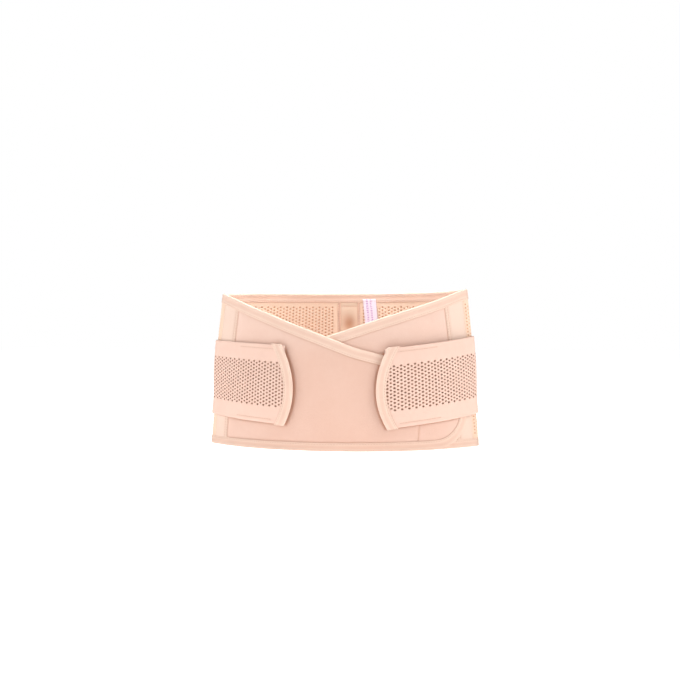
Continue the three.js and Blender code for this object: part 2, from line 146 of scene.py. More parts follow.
_, MIDDLE_FRONT, MIDDLE_BACK = lens(0.5)
FRONT_HALF = MIDDLE_FRONT[0] * MIDDLE_FRONT[2]
BACK_HALF = MIDDLE_BACK[0] * MIDDLE_BACK[2]
CREASE = CREASE_RADIUS * (np.pi - MIDDLE_FRONT[2] - MIDDLE_BACK[2])
BACK_MIDDLE = FRONT_HALF + CREASE + BACK_HALF
GIRTH = 2 * BACK_MIDDLE


def push(u, share):
    """Outward push of the dents and ripples: bells exp(-(du/a)² - (dz/b)²) and slow sine waves."""
    total = np.zeros(np.broadcast(u, share).shape)
    for along, height, reach, rise, depth in FOLDS:
        away = np.abs((u / GIRTH - along + 0.5) % 1 - 0.5) * GIRTH / HEIGHT
        total += depth * CREASE_RADIUS * np.exp(-((away / reach) ** 2) - ((share - height) / rise) ** 2)
    for round_loop, up, phase, size in RIPPLES:
        total += size * np.sin(2 * np.pi * (round_loop * u / GIRTH + up * share) + phase)
    return total


def loop(u, z, n=0.0, shift=(0.0, 0.0, 0.0)):
    """A pattern point on the loop, in metres: centre of its arc + (radius + n + push) * (sin a, -cos a),
    with the turn a growing evenly with u along the front arc, the crease and the back arc. The height has
    the corners' rise * (z / height)³ * exp(-(way / reach)²) added."""
    u, z, n = np.broadcast_arrays(np.asarray(u, float), z, n)
    share = z / HEIGHT
    width, front, back = lens(share)
    turned = (u + BACK_MIDDLE) % GIRTH - BACK_MIDDLE
    side = np.where(turned < 0, -1.0, 1.0)
    way = np.abs(turned)
    in_front = way <= FRONT_HALF
    behind = way >= FRONT_HALF + CREASE
    along = (way - FRONT_HALF) / CREASE
    corner_turn = (1 - along) * front[2] + along * (np.pi - back[2])
    front_turn = way / FRONT_HALF * front[2]
    back_turn = np.pi - (BACK_MIDDLE - way) / BACK_HALF * back[2]
    turn = np.select([in_front, behind], [front_turn, back_turn], corner_turn)
    radius = np.select([in_front, behind], [front[0], back[0]], CREASE_RADIUS)
    centre_x = np.where(in_front | behind, 0.0, width - CREASE_RADIUS)
    centre_y = np.select([in_front, behind], [front[1], -back[1]], 0.0)
    radius = radius + n + push(u, share)
    x = side * (centre_x + radius * np.sin(turn))
    y = centre_y - radius * np.cos(turn)
    lifts = [rise * np.exp(-(((turned - place) / reach) ** 2)) for place, reach, rise in CORNERS]
    return np.stack([x, y, z + share**3 * sum(lifts)], -1) * MM + np.array(shift)


# %% Setting the loop on the frame
TAPE_THICKNESS = 2.8
low_corner, high_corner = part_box("back_bottom_binding")
own_back = loop(BACK_MIDDLE, 0.0, TAPE_THICKNESS / 2)
SHIFT = ((low_corner[0] + high_corner[0]) / 2, high_corner[1] - own_back[1], 0.0)
set_over = [round(float(s) / MM, 2) for s in SHIFT]
print("girth", round(GIRTH, 1), "mm; the loop is set over by", set_over, "mm")

# %% [markdown]
# ## From patterns to meshes
# A part of a piece is a set of pattern points, the quads between them, a UV place for each point, a number
# for its material, and its painted shade at each point: 1 in a hole, under a tape's border or in a line of
# stitches, where shade would fall, 0 in the open; the material darkens its colour by it. A part that came
# out inside out is turned, and then all parts of a piece go into one mesh at the origin. The UV map is in
# metres on the cloth, so that a weave keeps its real size.

# %% Parts and pieces
def part(points, quads, uv=None, material=0, hollow=0.0):
    """Pattern points (count, 3), quads (count, 4), UV in millimetres, a material number and each point's
    share of painted shade. Turned so that its volume, the sum of a . (b x c) / 6 over its triangles, is
    positive."""
    points = np.asarray(points, float).reshape(-1, 3)
    quads = np.asarray(quads).reshape(-1, 4)
    uv = points[:, :2] if uv is None else np.asarray(uv, float).reshape(-1, 2)
    hollow = np.ravel(hollow) + np.zeros(len(points))
    a, b, c, d = (points[quads[:, k]] - points.mean(0) for k in range(4))
    volume = np.einsum("ij,ij->", a, np.cross(b, c)) + np.einsum("ij,ij->", a, np.cross(c, d))
    if volume < 0:
        quads = quads[:, ::-1]
    return points, quads, uv, material, hollow


def grid_quads(rows, columns, start=0):
    """Quads of a grid whose point (i, j) is number start + i * columns + j, facing rows x columns."""
    i, j = np.meshgrid(np.arange(rows - 1), np.arange(columns - 1), indexing="ij")
    a = start + i * columns + j
    return np.stack([a, a + columns, a + columns + 1, a + 1], -1).reshape(-1, 4)


def rim_walls(rows, columns):
    """Quads that join the rims of two grids, one over the other; the second's points are numbered on."""
    count = rows * columns
    number = np.arange(count).reshape(rows, columns)
    rim = np.concatenate([number[:, 0], number[-1, 1:], number[-2::-1, -1], number[0, -2::-1]])
    return np.stack([rim[:-1], rim[:-1] + count, rim[1:] + count, rim[1:]], -1)


def shell(outer, inner, uv=None, hollow=0.0, inside=None):
    """A closed sheet between two grids of pattern points with the same rows and columns, joined by their
    rim. Both faces carry the painted shade given, unless inside gives the inner one a share of its own."""
    rows, columns = outer.shape[:2]
    behind = grid_quads(rows, columns, rows * columns)[:, ::-1]
    quads = np.concatenate([grid_quads(rows, columns), behind, rim_walls(rows, columns)])
    points = np.concatenate([outer.reshape(-1, 3), inner.reshape(-1, 3)])
    flat = outer[..., :2] if uv is None else uv
    faces = (hollow, hollow if inside is None else inside)
    hollow = np.concatenate([np.broadcast_to(face, (rows, columns)).ravel() for face in faces])
    return part(points, quads, np.concatenate([flat.reshape(-1, 2)] * 2), hollow=hollow)


def slab(u, z, middle, half, **more):
    """A closed sheet over the places u and z, with its faces at the layers middle + half and - half."""
    faces = [np.stack(np.broadcast_arrays(u, z, middle + side * half), -1) for side in (1, -1)]
    return shell(*faces, **more)


def mirrored(piece_part):
    """The same part for the other side: u becomes -u and the quads turn round."""
    points, quads, uv, material, hollow = piece_part
    return points * (-1, 1, 1), quads[:, ::-1], uv, material, hollow


def make_piece(name, parts, materials, node, flip=False):
    """One mesh from its parts, or from their mirror images: points bent onto the loop, smooth-shaded, with
    its UV map in metres. It stands for the frame's node of the same cloth."""
    if flip:
        parts = [mirrored(p) for p in parts]
    counts = np.cumsum([0] + [len(p[0]) for p in parts])
    points = np.concatenate([p[0] for p in parts])
    quads = np.concatenate([p[1] + start for p, start in zip(parts, counts)])
    uv = np.concatenate([p[2] for p in parts])[quads.ravel()] * MM
    numbers = np.concatenate([np.full(len(p[1]), p[3]) for p in parts])
    hollow = np.concatenate([p[4] for p in parts])
    mesh = bpy.data.meshes.new(name)
    mesh.vertices.add(len(points))
    mesh.vertices.foreach_set("co", loop(*points.T, shift=SHIFT).ravel())
    mesh.loops.add(quads.size)
    mesh.loops.foreach_set("vertex_index", quads.ravel())
    mesh.polygons.add(len(quads))
    mesh.polygons.foreach_set("loop_start", np.arange(0, quads.size, 4))
    mesh.uv_layers.new(name="pattern").data.foreach_set("uv", uv.ravel())
    mesh.attributes.new("hollow", "FLOAT", "POINT").data.foreach_set("value", hollow.astype(np.float32))
    mesh.polygons.foreach_set("material_index", numbers)
    mesh.polygons.foreach_set("use_smooth", np.ones(len(quads), bool))
    mesh.update(calc_edges=True)
    mesh.validate()
    for material in materials:
        mesh.materials.append(material)
    piece = new_object(name, mesh)
    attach(piece, "root")
    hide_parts(node)
    print(f"{name}: {2 * len(mesh.polygons)} triangles")
    return piece


# %% [markdown]
# ## Cloth that shows its making
# Three effects make all the cloths: knitted ribs, a brushed nap, and dye that took a little unevenly. Each
# is a node group, so that one change reaches every cloth, and each cloth gives it its own pitch and
# strength. The groups put out only a height and a shade; colour, roughness and sheen stay in each material.

# %% Node groups
FINE_GRAIN = 900.0


def feed(tree, socket, value):
    """Links another node's socket to this one, or gives it a plain value."""
    if isinstance(value, bpy.types.NodeSocket):
        tree.links.new(value, socket)
    else:
        socket.default_value = value


def calculator(tree):
    """A function that adds a Math node, fed by sockets or plain numbers, and returns its result."""

    def calculate(operation, *values):
        node = tree.nodes.new("ShaderNodeMath")
        node.operation = operation
        for socket, value in zip(node.inputs, values):
            feed(tree, socket, value)
        return node.outputs[0]

    return calculate


def new_group(name, inputs, outputs):
    """An empty node group with float sockets and one vector input called Place. Returns the group, the
    sockets that bring its inputs, those that take its outputs, and its function for Math nodes."""
    group = bpy.data.node_groups.new(name, "ShaderNodeTree")
    sockets = group.interface
    sockets.new_socket("Place", in_out="INPUT", socket_type="NodeSocketVector")
    for label, value in inputs.items():
        sockets.new_socket(label, in_out="INPUT", socket_type="NodeSocketFloat").default_value = value
    for label in outputs:
        sockets.new_socket(label, in_out="OUTPUT", socket_type="NodeSocketFloat")
    given = group.nodes.new("NodeGroupInput").outputs
    results = group.nodes.new("NodeGroupOutput").inputs
    return group, given, results, calculator(group)


def noise_node(tree, place, scale, detail=3.0, roughness=0.6):
    """A noise texture read at place; returns its grey value."""
    node = tree.nodes.new("ShaderNodeTexNoise")
    node.inputs["Detail"].default_value = detail
    node.inputs["Roughness"].default_value = roughness
    tree.links.new(place, node.inputs["Vector"])
    feed(tree, node.inputs["Scale"], scale)
    return node.outputs["Fac"]


def x_and_y(tree, place):
    """The first two numbers of a place."""
    split = tree.nodes.new("ShaderNodeSeparateXYZ")
    tree.links.new(place, split.inputs[0])
    return split.outputs["X"], split.outputs["Y"]


def ribs_group():
    """Knit: ribs = |sin(pi x / pitch)| across the cloth, broken along each rib by sin(2 pi y / stitch),
    shifted by half a stitch from rib to rib and pushed about by a fine noise. Shade = height to the 0.6."""
    inputs = {"Rib pitch": 0.001, "Stitch": 0.0012, "Stitch share": 0.4}
    group, given, results, calc = new_group("knitted_ribs", inputs, ("Height", "Shade"))
    x, y = x_and_y(group, given["Place"])
    wander = calc("MULTIPLY_ADD", noise_node(group, given["Place"], FINE_GRAIN), 0.9, -0.45)
    across = calc("DIVIDE", x, given["Rib pitch"])
    rib = calc("ABSOLUTE", calc("SINE", calc("MULTIPLY", across, np.pi)))
    half_turn = calc("MULTIPLY", calc("FLOOR", across), np.pi)
    turn = calc("MULTIPLY_ADD", calc("DIVIDE", y, given["Stitch"]), 2 * np.pi, half_turn)
    stitch = calc("MULTIPLY_ADD", calc("SINE", calc("ADD", turn, wander)), 0.5, 0.5)
    blend = group.nodes.new("ShaderNodeMix")
    for value, socket in ((given["Stitch share"], 0), (rib, 2), (stitch, 3)):
        group.links.new(value, blend.inputs[socket])
    group.links.new(blend.outputs[0], results["Height"])
    group.links.new(calc("POWER", blend.outputs[0], 0.6), results["Shade"])
    return group


def nap_group():
    """Brushed cloth: fine fibres over slow tufts, each a noise. Height = 0.45 * fibres + tufts, and the
    shade is the mean of the two."""
    inputs = {"Fibre scale": 2600.0, "Tuft scale": 420.0}
    group, given, results, calc = new_group("brushed_nap", inputs, ("Height", "Shade"))
    fibres = noise_node(group, given["Place"], given["Fibre scale"], 2.0, 0.7)
    tufts = noise_node(group, given["Place"], given["Tuft scale"], 3.0, 0.65)
    group.links.new(calc("MULTIPLY_ADD", fibres, 0.45, tufts), results["Height"])
    group.links.new(calc("MULTIPLY_ADD", fibres, 0.5, calc("MULTIPLY", tufts, 0.5)), results["Shade"])
    return group


def marks_group():
    """Woven marks on a label without words: dashes in two columns. A dash shows where the distance from its
    column's middle is small, a slow sine down the column is high, and a noise lets it through."""
    inputs = {"Column gap": 0.0075, "Row pitch": 0.0021}
    group, given, results, calc = new_group("woven_marks", inputs, ("Mask",))
    x, y = x_and_y(group, given["Place"])
    away = calc("ABSOLUTE", calc("SUBTRACT", calc("PINGPONG", x, given["Column gap"]), 0.005))
    wave = calc("SINE", calc("MULTIPLY", calc("DIVIDE", y, given["Row pitch"]), 2 * np.pi))
    dashes = calc("MULTIPLY", calc("LESS_THAN", away, 0.0013), calc("GREATER_THAN", wave, -0.1))
    let_through = calc("GREATER_THAN", noise_node(group, given["Place"], FINE_GRAIN, 1.0), 0.45)
    group.links.new(calc("MULTIPLY", dashes, let_through), results["Mask"])
    return group


def dye_group():
    """Uneven dye: a slow noise with a little of a faster one, widened about its middle."""
    group, given, results, calc = new_group("uneven_dye", {"Cloud scale": 22.0}, ("Shade",))
    slow = noise_node(group, given["Place"], given["Cloud scale"], 2.0, 0.5)
    fast = noise_node(group, given["Place"], 160.0, 3.0, 0.6)
    mixed = calc("MULTIPLY_ADD", fast, 0.35, calc("MULTIPLY", slow, 0.65))
    group.links.new(calc("MULTIPLY_ADD", mixed, 2.4, -0.7), results["Shade"])
    return group


RIBS, NAP, DYE, MARKS = ribs_group(), nap_group(), dye_group(), marks_group()
print("node groups:", ", ".join(group.name for group in bpy.data.node_groups))


# %% Cloth materials
CLOTH_SHARE = 0.78


def srgb(red, green, blue):
    """A picture colour, 0 to 255, as the share of light that the cloth sends back: linear value *
    CLOTH_SHARE, since the picture shows the cloth in a strong light."""
    c = np.array([red, green, blue]) / 255
    linear = np.where(c <= 0.04045, c / 12.92, ((c + 0.055) / 1.055) ** 2.4) * CLOTH_SHARE
    return (*linear.tolist(), 1.0)


def mix_colours(tree, factor, first, second):
    """A colour Mix node between two colours or sockets; returns its result."""
    node = tree.nodes.new("ShaderNodeMix")
    node.data_type = "RGBA"
    for socket, value in ((0, factor), (6, first), (7, second)):
        feed(tree, node.inputs[socket], value)
    return node.outputs[2]


def cloth(name, light, deep, dark, finish, knit, nap, marks=None):
    """A cloth with its colours on the ribs (light) and between them (deep), clouded by the dye, and a colour
    of painted shade (dark), which a point attribute mixes in where shade would fall. Finish is roughness
    and sheen; knit is pitch and stitch in millimetres, the stitches' share and the ribs' depth; nap is its
    depth and its share of the shade. Woven marks have a colour of their own."""
    material = bpy.data.materials.new(name)
    material.use_nodes = True
    tree = material.node_tree
    shader = tree.nodes["Principled BSDF"]
    shader.inputs["Roughness"].default_value = finish[0]
    shader.inputs["Sheen Weight"].default_value = finish[1]
    shader.inputs["Sheen Roughness"].default_value = 0.5
    shader.inputs["Specular IOR Level"].default_value = 0.25
    place = tree.nodes.new("ShaderNodeUVMap").outputs["UV"]
    calc = calculator(tree)

    def effect(group, **values):
        node = tree.nodes.new("ShaderNodeGroup")
        node.node_tree = group
        tree.links.new(place, node.inputs["Place"])
        for label, value in values.items():
            node.inputs[label.replace("_", " ")].default_value = value
        return node.outputs

    pitch, stitch, stitch_share, rib_depth = knit
    nap_depth, nap_share = nap
    ribs = effect(RIBS, Rib_pitch=pitch * MM, Stitch=stitch * MM, Stitch_share=stitch_share)
    brushed = effect(NAP)
    shade = calc("MULTIPLY", brushed["Shade"], nap_share)
    shade = calc("MULTIPLY_ADD", ribs["Shade"], 1 - nap_share, shade)
    shade = calc("MULTIPLY_ADD", effect(DYE)["Shade"], 0.5, calc("MULTIPLY", shade, 0.5))
    colour = mix_colours(tree, shade, srgb(*deep), srgb(*light))
    if marks:
        colour = mix_colours(tree, effect(MARKS)["Mask"], colour, srgb(*marks))
    # Painted shade: this point attribute darkens the colour towards the dark one where shade would fall
    hollow = tree.nodes.new("ShaderNodeAttribute")
    hollow.attribute_name = "hollow"
    colour = mix_colours(tree, hollow.outputs["Fac"], colour, srgb(*dark))
    tree.links.new(colour, shader.inputs["Base Color"])
    bump = tree.nodes.new("ShaderNodeBump")
    bump.inputs["Strength"].default_value = 1.0
    bump.inputs["Distance"].default_value = MM
    height = calc("MULTIPLY_ADD", ribs["Height"], rib_depth, calc("MULTIPLY", brushed["Height"], nap_depth))
    tree.links.new(height, bump.inputs["Height"])
    tree.links.new(bump.outputs["Normal"], shader.inputs["Normal"])
    return material


# Each cloth's third colour is the colour of its painted shade
PANEL_CLOTH = cloth("brushed_panel", (254, 222, 206), (245, 205, 186), (214, 154, 126),
                    (0.95, 0.3), (1.3, 1.5, 0.5, 0.05), (0.22, 0.75))
TAPE_CLOTH = cloth("edge_tape", (255, 226, 207), (247, 210, 190), (232, 178, 154),
                   (0.8, 0.12), (0.9, 1.1, 0.35, 0.12), (0.03, 0.25))
STRIP_CLOTH = cloth("plain_strip", (255, 226, 208), (247, 213, 194), (222, 180, 156),
                    (0.85, 0.15), (0.8, 1.0, 0.5, 0.07), (0.05, 0.4))
MESH_CLOTH = cloth("open_mesh", (268, 244, 222), (262, 227, 200), (238, 184, 150),
                   (0.85, 0.15), (0.95, 1.2, 0.35, 0.12), (0.05, 0.3))
ELASTIC_CLOTH = cloth("strap_elastic", (255, 221, 204), (246, 203, 184), (214, 166, 140),
                      (0.85, 0.15), (1.0, 1.3, 0.35, 0.12), (0.05, 0.3))
SATIN_CLOTH = cloth("satin_back", (265, 243, 220), (255, 225, 200), (208, 142, 104),
                    (0.5, 0.1), (0.5, 2.6, 0.2, 0.03), (0.02, 0.2))
# Hook tape: its own colour, deepened with painted shade for the gap under the strap's end, seen through the
# holes
HOOK_CLOTH = cloth("hook_tape", (222, 174, 146), (196, 146, 118), (150, 100, 76),
                   (0.7, 0.0), (1.6, 1.6, 0.5, 0.3), (0.05, 0.2))
LABEL_CLOTH = cloth("label_satin", (266, 254, 270), (258, 244, 262), (196, 160, 200),
                    (0.45, 0.1), (0.35, 1.4, 0.2, 0.02), (0.01, 0.2), (200, 140, 214))
THREAD = cloth("thread", (240, 204, 182), (222, 178, 154), (200, 150, 126),
               (0.7, 0.1), (0.3, 0.6, 0.5, 0.05), (0.02, 0.3))
print("cloths:", ", ".join(material.name for material in bpy.data.materials))

# %% [markdown]
# ## Stitches
# A row of stitches is a line of short threads that dive into the cloth at both ends. Each thread is a small
# closed tube of four points round and four along, carried to every place along the seam at once.

# %% Stitch rows
STITCH_PITCH = 2.9
STITCH_LENGTH = 2.1
STITCH_RADIUS = 0.26
STITCH_DIVE = 0.25
STITCH_LIFT = 0.08


def even_steps(path, step, closed_ends=True):
    """Points at even distances along a line of (u, z) points, by its running length, and their ways along
    it. Without closed ends, each point is the middle of its step."""
    lengths = np.concatenate([[0], np.cumsum(np.hypot(*np.diff(path, axis=0).T))])
    count = max(2, int(round(lengths[-1] / step)) + 1)
    ways = np.linspace(0, lengths[-1], count)
    if not closed_ends:
        ways = (ways[:-1] + ways[1:]) / 2
    return np.column_stack([np.interp(ways, lengths, path[:, k]) for k in (0, 1)]), ways


def directions(path):
    """Unit tangents of a line of points."""
    tangents = np.gradient(path, axis=0)
    return tangents / np.linalg.norm(tangents, axis=1, keepdims=True)


def stitches(path, layer, half, faces=(1, -1)):
    """Threads along a (u, z) line, one part for each side of the cloth: outer (face 1) and inner (face -1).
    The cloth's surface lies at layer(u, z) + face * half, and a thread's point at centre + tangent * along
    + normal * across, lifted by face * rise."""
    centres, _ = even_steps(np.asarray(path, float), STITCH_PITCH, closed_ends=False)
    tangents = directions(centres)
    normals = np.column_stack([-tangents[:, 1], tangents[:, 0]])
    along = np.repeat(np.array([-1.0, -0.6, 0.6, 1.0]) * STITCH_LENGTH / 2, 4)
    girth = np.repeat(np.array([0.5, 1.0, 1.0, 0.5]) * STITCH_RADIUS, 4)
    dive = np.repeat(np.array([1.0, 0.0, 0.0, 1.0]) * STITCH_DIVE, 4)
    turn = np.tile(np.arange(4) * np.pi / 2 + np.pi / 4, 4)
    across, rise = girth * np.cos(turn), girth * np.sin(turn) - dive + STITCH_LIFT
    flat = centres[:, None, :] + tangents[:, None, :] * along[:, None] + normals[:, None, :] * across[:, None]
    ring = np.arange(4)
    follow = (ring + 1) % 4
    sides = [np.stack([ring, follow, follow + 4, ring + 4], -1) + start for start in (0, 4, 8)]
    quads = np.concatenate(sides + [[[3, 2, 1, 0]], [[12, 13, 14, 15]]])
    quads = (quads[None] + 16 * np.arange(len(centres))[:, None, None]).reshape(-1, 4)
    surface = layer(flat[..., 0], flat[..., 1])
    lifts = [surface + face * half + face * rise for face in faces]
    return [part(np.concatenate([flat, lift[..., None]], -1), quads, flat, material=1) for lift in lifts]


# %% [markdown]
# ## The edge tapes
# A binding is a tape folded over the raw edge. Its profile, seen end-on, is a narrow U: flat outside, round
# over the edge, and flat again inside. The profile is carried along the edge; the two ends of the U press
# on the cloth where the stitches hold them.

# %% Sizes of tapes and strips
PANEL_THICKNESS = 2.0
MESH_THICKNESS = 1.6
SEAM_THICKNESS = 2.4
GAP = 0.3
TOP_TAPE = 11.0
BOTTOM_TAPE = 9.0
TAPE_WALL = 0.55
STITCH_INSET = 1.75
TAPE_REACH = 1.0
TAPE_JOIN = FRONT_HALF + TAPE_REACH
BACK_TAPE_JOIN = TAPE_JOIN + GAP


# %% A folded tape
BACK_TAPE_STEP = 1.6
FOLD_POINTS = 9
THREAD_SINK = 0.16

# A tape's flat side from its border to its fold: share of the width, how far the surface sinks there in
# millimetres, and its painted shade: the shadow under its border and in its stitch grooves
TAPE_SHARES = np.array([1.0, 0.985, 0.94, 0.88, 0.84, 0.8, 0.72, 0.66, 0.62, 0.46, 0.34, 0.3])
TAPE_SINKS = np.array([0.45, 0.14, 0.04, 0.02, 0.1, 0.02, 0.0, 0.02, 0.09, 0.11, 0.09, 0.02])
TAPE_SHADES = np.array([0.7, 0.3, 0.0, 0.0, 0.15, 0.0, 0.0, 0.05, 0.22, 0.28, 0.22, 0.05])


def smooth_line(path, rounds=8):
    """Rounds a line's corners: each inner point moves to (before + 2 * itself + after) / 4, several times."""
    path = path.copy()
    for _ in range(rounds):
        path[1:-1] = (path[:-2] + 2 * path[1:-1] + path[2:]) / 4
    return path


def tape(edge, widths, layer, step=2.4, faces=(1, -1), painted_shades=(0, 0), across=None):
    """A folded tape along an edge, with the cloth on the right of its way. Profile: distance w in from the
    edge and layer t, a U of half thickness h with a round fold, with painted shade at its border and in its
    stitch grooves. Widths and painted shades, which darken it where less light falls, are given at even
    steps along it. The profile runs square to the edge, or along the direction across, lengthened by
    1 / cosine, so that the tape's ends are cut that way. Returns its parts: the tape and its stitch rows."""
    path, ways = even_steps(np.asarray(edge, float), step)
    path = smooth_line(path)

    def spread(values):
        return np.interp(ways / ways[-1], np.linspace(0, 1, len(values)), values)

    width, shade_along = spread(widths), spread(painted_shades)[:, None]
    tangents = directions(path)
    inward = np.column_stack([tangents[:, 1], -tangents[:, 0]])
    if across is not None:
        inward = across / (inward @ across)[:, None]
    half = TAPE_THICKNESS / 2
    turn = np.linspace(np.pi / 2, -np.pi / 2, FOLD_POINTS)
    fold_w, fold_t = half * (1 - np.cos(turn)), half * np.sin(turn)
    flat_w, flat_t = width[:, None] * TAPE_SHARES, half - TAPE_SINKS
    outer_w = np.concatenate([flat_w, np.tile(fold_w, (len(path), 1)), flat_w[:, ::-1]], 1)
    outer_t = np.concatenate([flat_t, fold_t, -flat_t[::-1]])
    squeeze = (half - TAPE_WALL) / half
    inner_w = np.maximum(outer_w, TAPE_WALL)
    inner_w[:, len(flat_t):-len(flat_t)] = TAPE_WALL + fold_w * squeeze
    flat_t = np.full(len(flat_t), half - TAPE_WALL)
    inner_t = np.concatenate([flat_t, fold_t * squeeze, -flat_t])

    def carried(w, t):
        flat = path[:, None, :] + inward[:, None, :] * w[..., None]
        return np.concatenate([flat, (layer(flat[..., 0], flat[..., 1]) + t)[..., None]], -1)

    cloth_w = width.mean() * TAPE_SHARES
    cloth_w = np.concatenate([cloth_w, 0 * fold_w, -cloth_w[::-1]])
    uv = np.stack(np.broadcast_arrays(ways[:, None], cloth_w), -1)
    dark = np.concatenate([TAPE_SHADES, 0 * fold_w, TAPE_SHADES[::-1]])
    folded = shell(carried(outer_w, outer_t), carried(inner_w, inner_t), uv, shade_along + (1 - shade_along) * dark)
    line = path + inward * (width - STITCH_INSET)[:, None]
    return [folded] + stitches(line, layer, half - THREAD_SINK, faces)


def level(u, z):
    """The layer of pieces that lie in the loop's own surface."""
    return np.zeros(np.broadcast(u, z).shape)


tape_cloths = [TAPE_CLOTH, THREAD]
back_edge = [(BACK_TAPE_JOIN, HEIGHT), (GIRTH - BACK_TAPE_JOIN, HEIGHT)]
top_parts = tape(back_edge, (TOP_TAPE, TOP_TAPE), level, BACK_TAPE_STEP)
top_tape = make_piece("back_top_tape", top_parts, tape_cloths, "back_top_binding")
back_edge = [(GIRTH - BACK_TAPE_JOIN, 0), (BACK_TAPE_JOIN, 0)]
# Painted shade: the back's bottom tape is drawn a little darker all along, where less light falls
bottom_parts = tape(back_edge, (BOTTOM_TAPE, BOTTOM_TAPE), level, BACK_TAPE_STEP, painted_shades=(0.1, 0.1))
bottom_tape = make_piece("back_bottom_tape", bottom_parts, tape_cloths, "back_bottom_binding")

# %% [markdown]
# ## The front's measures
# From each crease inwards the front is a plain side strip, a narrow seam tape and a panel, with a small gap
# between pieces that are sewn together. The measures are those of the frame's solids. Each panel rises off
# the loop towards its far side, so that at the crossing one lies over the other and their tapes stay clear.

# %% Sizes of the front
TONGUE_HEIGHT = 86.0
TONGUE_SETBACK = 14.5
NECKLINE_CROWN = 2.2
OUTER_NECK = (0.12, 0.636)
INNER_NECK = (0.12, 0.688)
SEAM_WIDTH = 5.5
SEAM_LEAN = 8.0
SIDE_STRIP = 20.0
MESH_WRAP = 5.5
CROSSING_SLACK = 0.2
STRIP_OUT = FRONT_HALF - MESH_WRAP
STRIP_IN = STRIP_OUT - GAP - SIDE_STRIP
SEAM_OUT = STRIP_IN - GAP
SEAM_IN = SEAM_OUT - SEAM_WIDTH
PANEL_EDGE = SEAM_IN - GAP
CROSSING = TAPE_THICKNESS + GAP + CROSSING_SLACK
UNDER_TAPE = 2.6


def outer_layer(u, z=0.0):
    """The outer panel rises evenly from its own seam to the far one."""
    return CROSSING * np.clip((u + PANEL_EDGE) / (2 * PANEL_EDGE), 0, 1) + np.zeros(np.broadcast(u, z).shape)


def inner_layer(u, z=0.0):
    """The inner panel, drawn as the left one, lies behind by the crossing's depth."""
    return outer_layer(-u, z) - CROSSING


# %% [markdown]
# ## Where the straps lie
# The straps are built last, but they press into the front's padding, so their path comes first: the height
# of the middle line, the layer that clears what it lies on, and the rounded end.

# %% Sizes of the straps
STRAP_HEIGHT = 84.0
SELVEDGE = 17.4
STRAP_THICKNESS = 1.6
STRAP_END_BULGE = 11.5
STRAP_TAPE = 10.5
STRAP_TAPE_OVERHANG = 1.4
STRAP_LIFT = 0.9
STRAP_CURL = 1.2
STRAP_CURL_REACH = 14.0
HOOK_THICKNESS = 1.2
HOOK_LENGTH = 46.0
HOOK_MARGIN = 3.5
HOOK_STITCH = HOOK_MARGIN + 0.8
# Painted shade on the strap's inner face, seen through its holes
REVERSE_SHADE = 0.7
CENTRE_EDGE = 10.5
BACK_SEAM_WIDTH = 3.6
BACK_SEAM_OUT = CENTRE_EDGE + GAP + BACK_SEAM_WIDTH
STRAP_START = BACK_MIDDLE - CENTRE_EDGE - GAP
CREASE_MIDDLE = FRONT_HALF + CREASE / 2
BACK_SEAT = SEAM_THICKNESS / 2 + GAP + STRAP_THICKNESS / 2
HOOK_SEAT = GAP + HOOK_THICKNESS + GAP + STRAP_THICKNESS / 2

# Side, end as a share of the front half, middle heights at the end, the crease and the back, and how far
# below the middle line the rounded end has its tip
STRAPS = {
    "left": (-1, 0.275, 0.400, 0.442, 0.405, 5.0),
    "right": (1, 0.251, 0.376, 0.460, 0.405, 2.0),
}


def strap_middle(strap, u):
    """Height of the strap's middle line: straight from its end to the crease, and on to the back seam."""
    _, end, front, crease, back, _ = strap
    ways = (end * FRONT_HALF, CREASE_MIDDLE, STRAP_START)
    slope = (crease - front) / (ways[1] - ways[0])
    beyond = np.minimum(u - ways[0], 0) * slope
    return HEIGHT * (np.interp(u, ways, (front, crease, back)) + beyond)


def strap_layer(strap, u):
    """The strap's layer: high enough on the front to clear what it lies on, low round the crease and back.
    The end curls off the front by STRAP_CURL * exp(-(way from the tip / STRAP_CURL_REACH)²)."""
    side, end = strap[:2]
    tip = end * FRONT_HALF
    hook_end = tip + STRAP_END_BULGE + STRAP_TAPE + HOOK_LENGTH
    under = TAPE_THICKNESS / 2 if side > 0 else PANEL_THICKNESS / 2
    rows = [
        (tip, outer_layer(side * tip) + under + HOOK_SEAT + STRAP_LIFT),
        (hook_end, outer_layer(side * hook_end) + under + HOOK_SEAT),
    ]
    if side > 0:
        over_tongue = CROSSING + TAPE_THICKNESS / 2 + GAP + STRAP_THICKNESS / 2
        rows.append((FRONT_HALF - TONGUE_SETBACK + GAP, over_tongue))
        rows.append((CREASE_MIDDLE, BACK_SEAT + GAP))
    else:
        rows.append((SEAM_OUT, BACK_SEAT + GAP))
    rows += [(FRONT_HALF + CREASE, BACK_SEAT), (BACK_MIDDLE, BACK_SEAT)]
    ways, layers = np.array(rows, float).T
    curl = STRAP_CURL * np.exp(-(np.clip(u - tip, 0, None) / STRAP_CURL_REACH) ** 2)
    return np.interp(u, ways, layers) + curl


def strap_end(strap, t, inset=0.0):
    """The curved end: u = tip + bulge * ((t + tip's drop) / half height)², set in by inset."""
    return strap[1] * FRONT_HALF + inset + STRAP_END_BULGE * ((t + strap[5]) / (STRAP_HEIGHT / 2)) ** 2


# How far the padding takes to swell past a strap's end and its lower edge, how far under its upper edge it
# is free already, and how far it takes to be pressed from there on down; the painted shadow beside the
# straps spreads as far
PRESSED_END = 2.0
PRESSED_BELOW = 1.8
LOOSE_EDGE = 5.0
PRESSED_ABOVE = 2.2


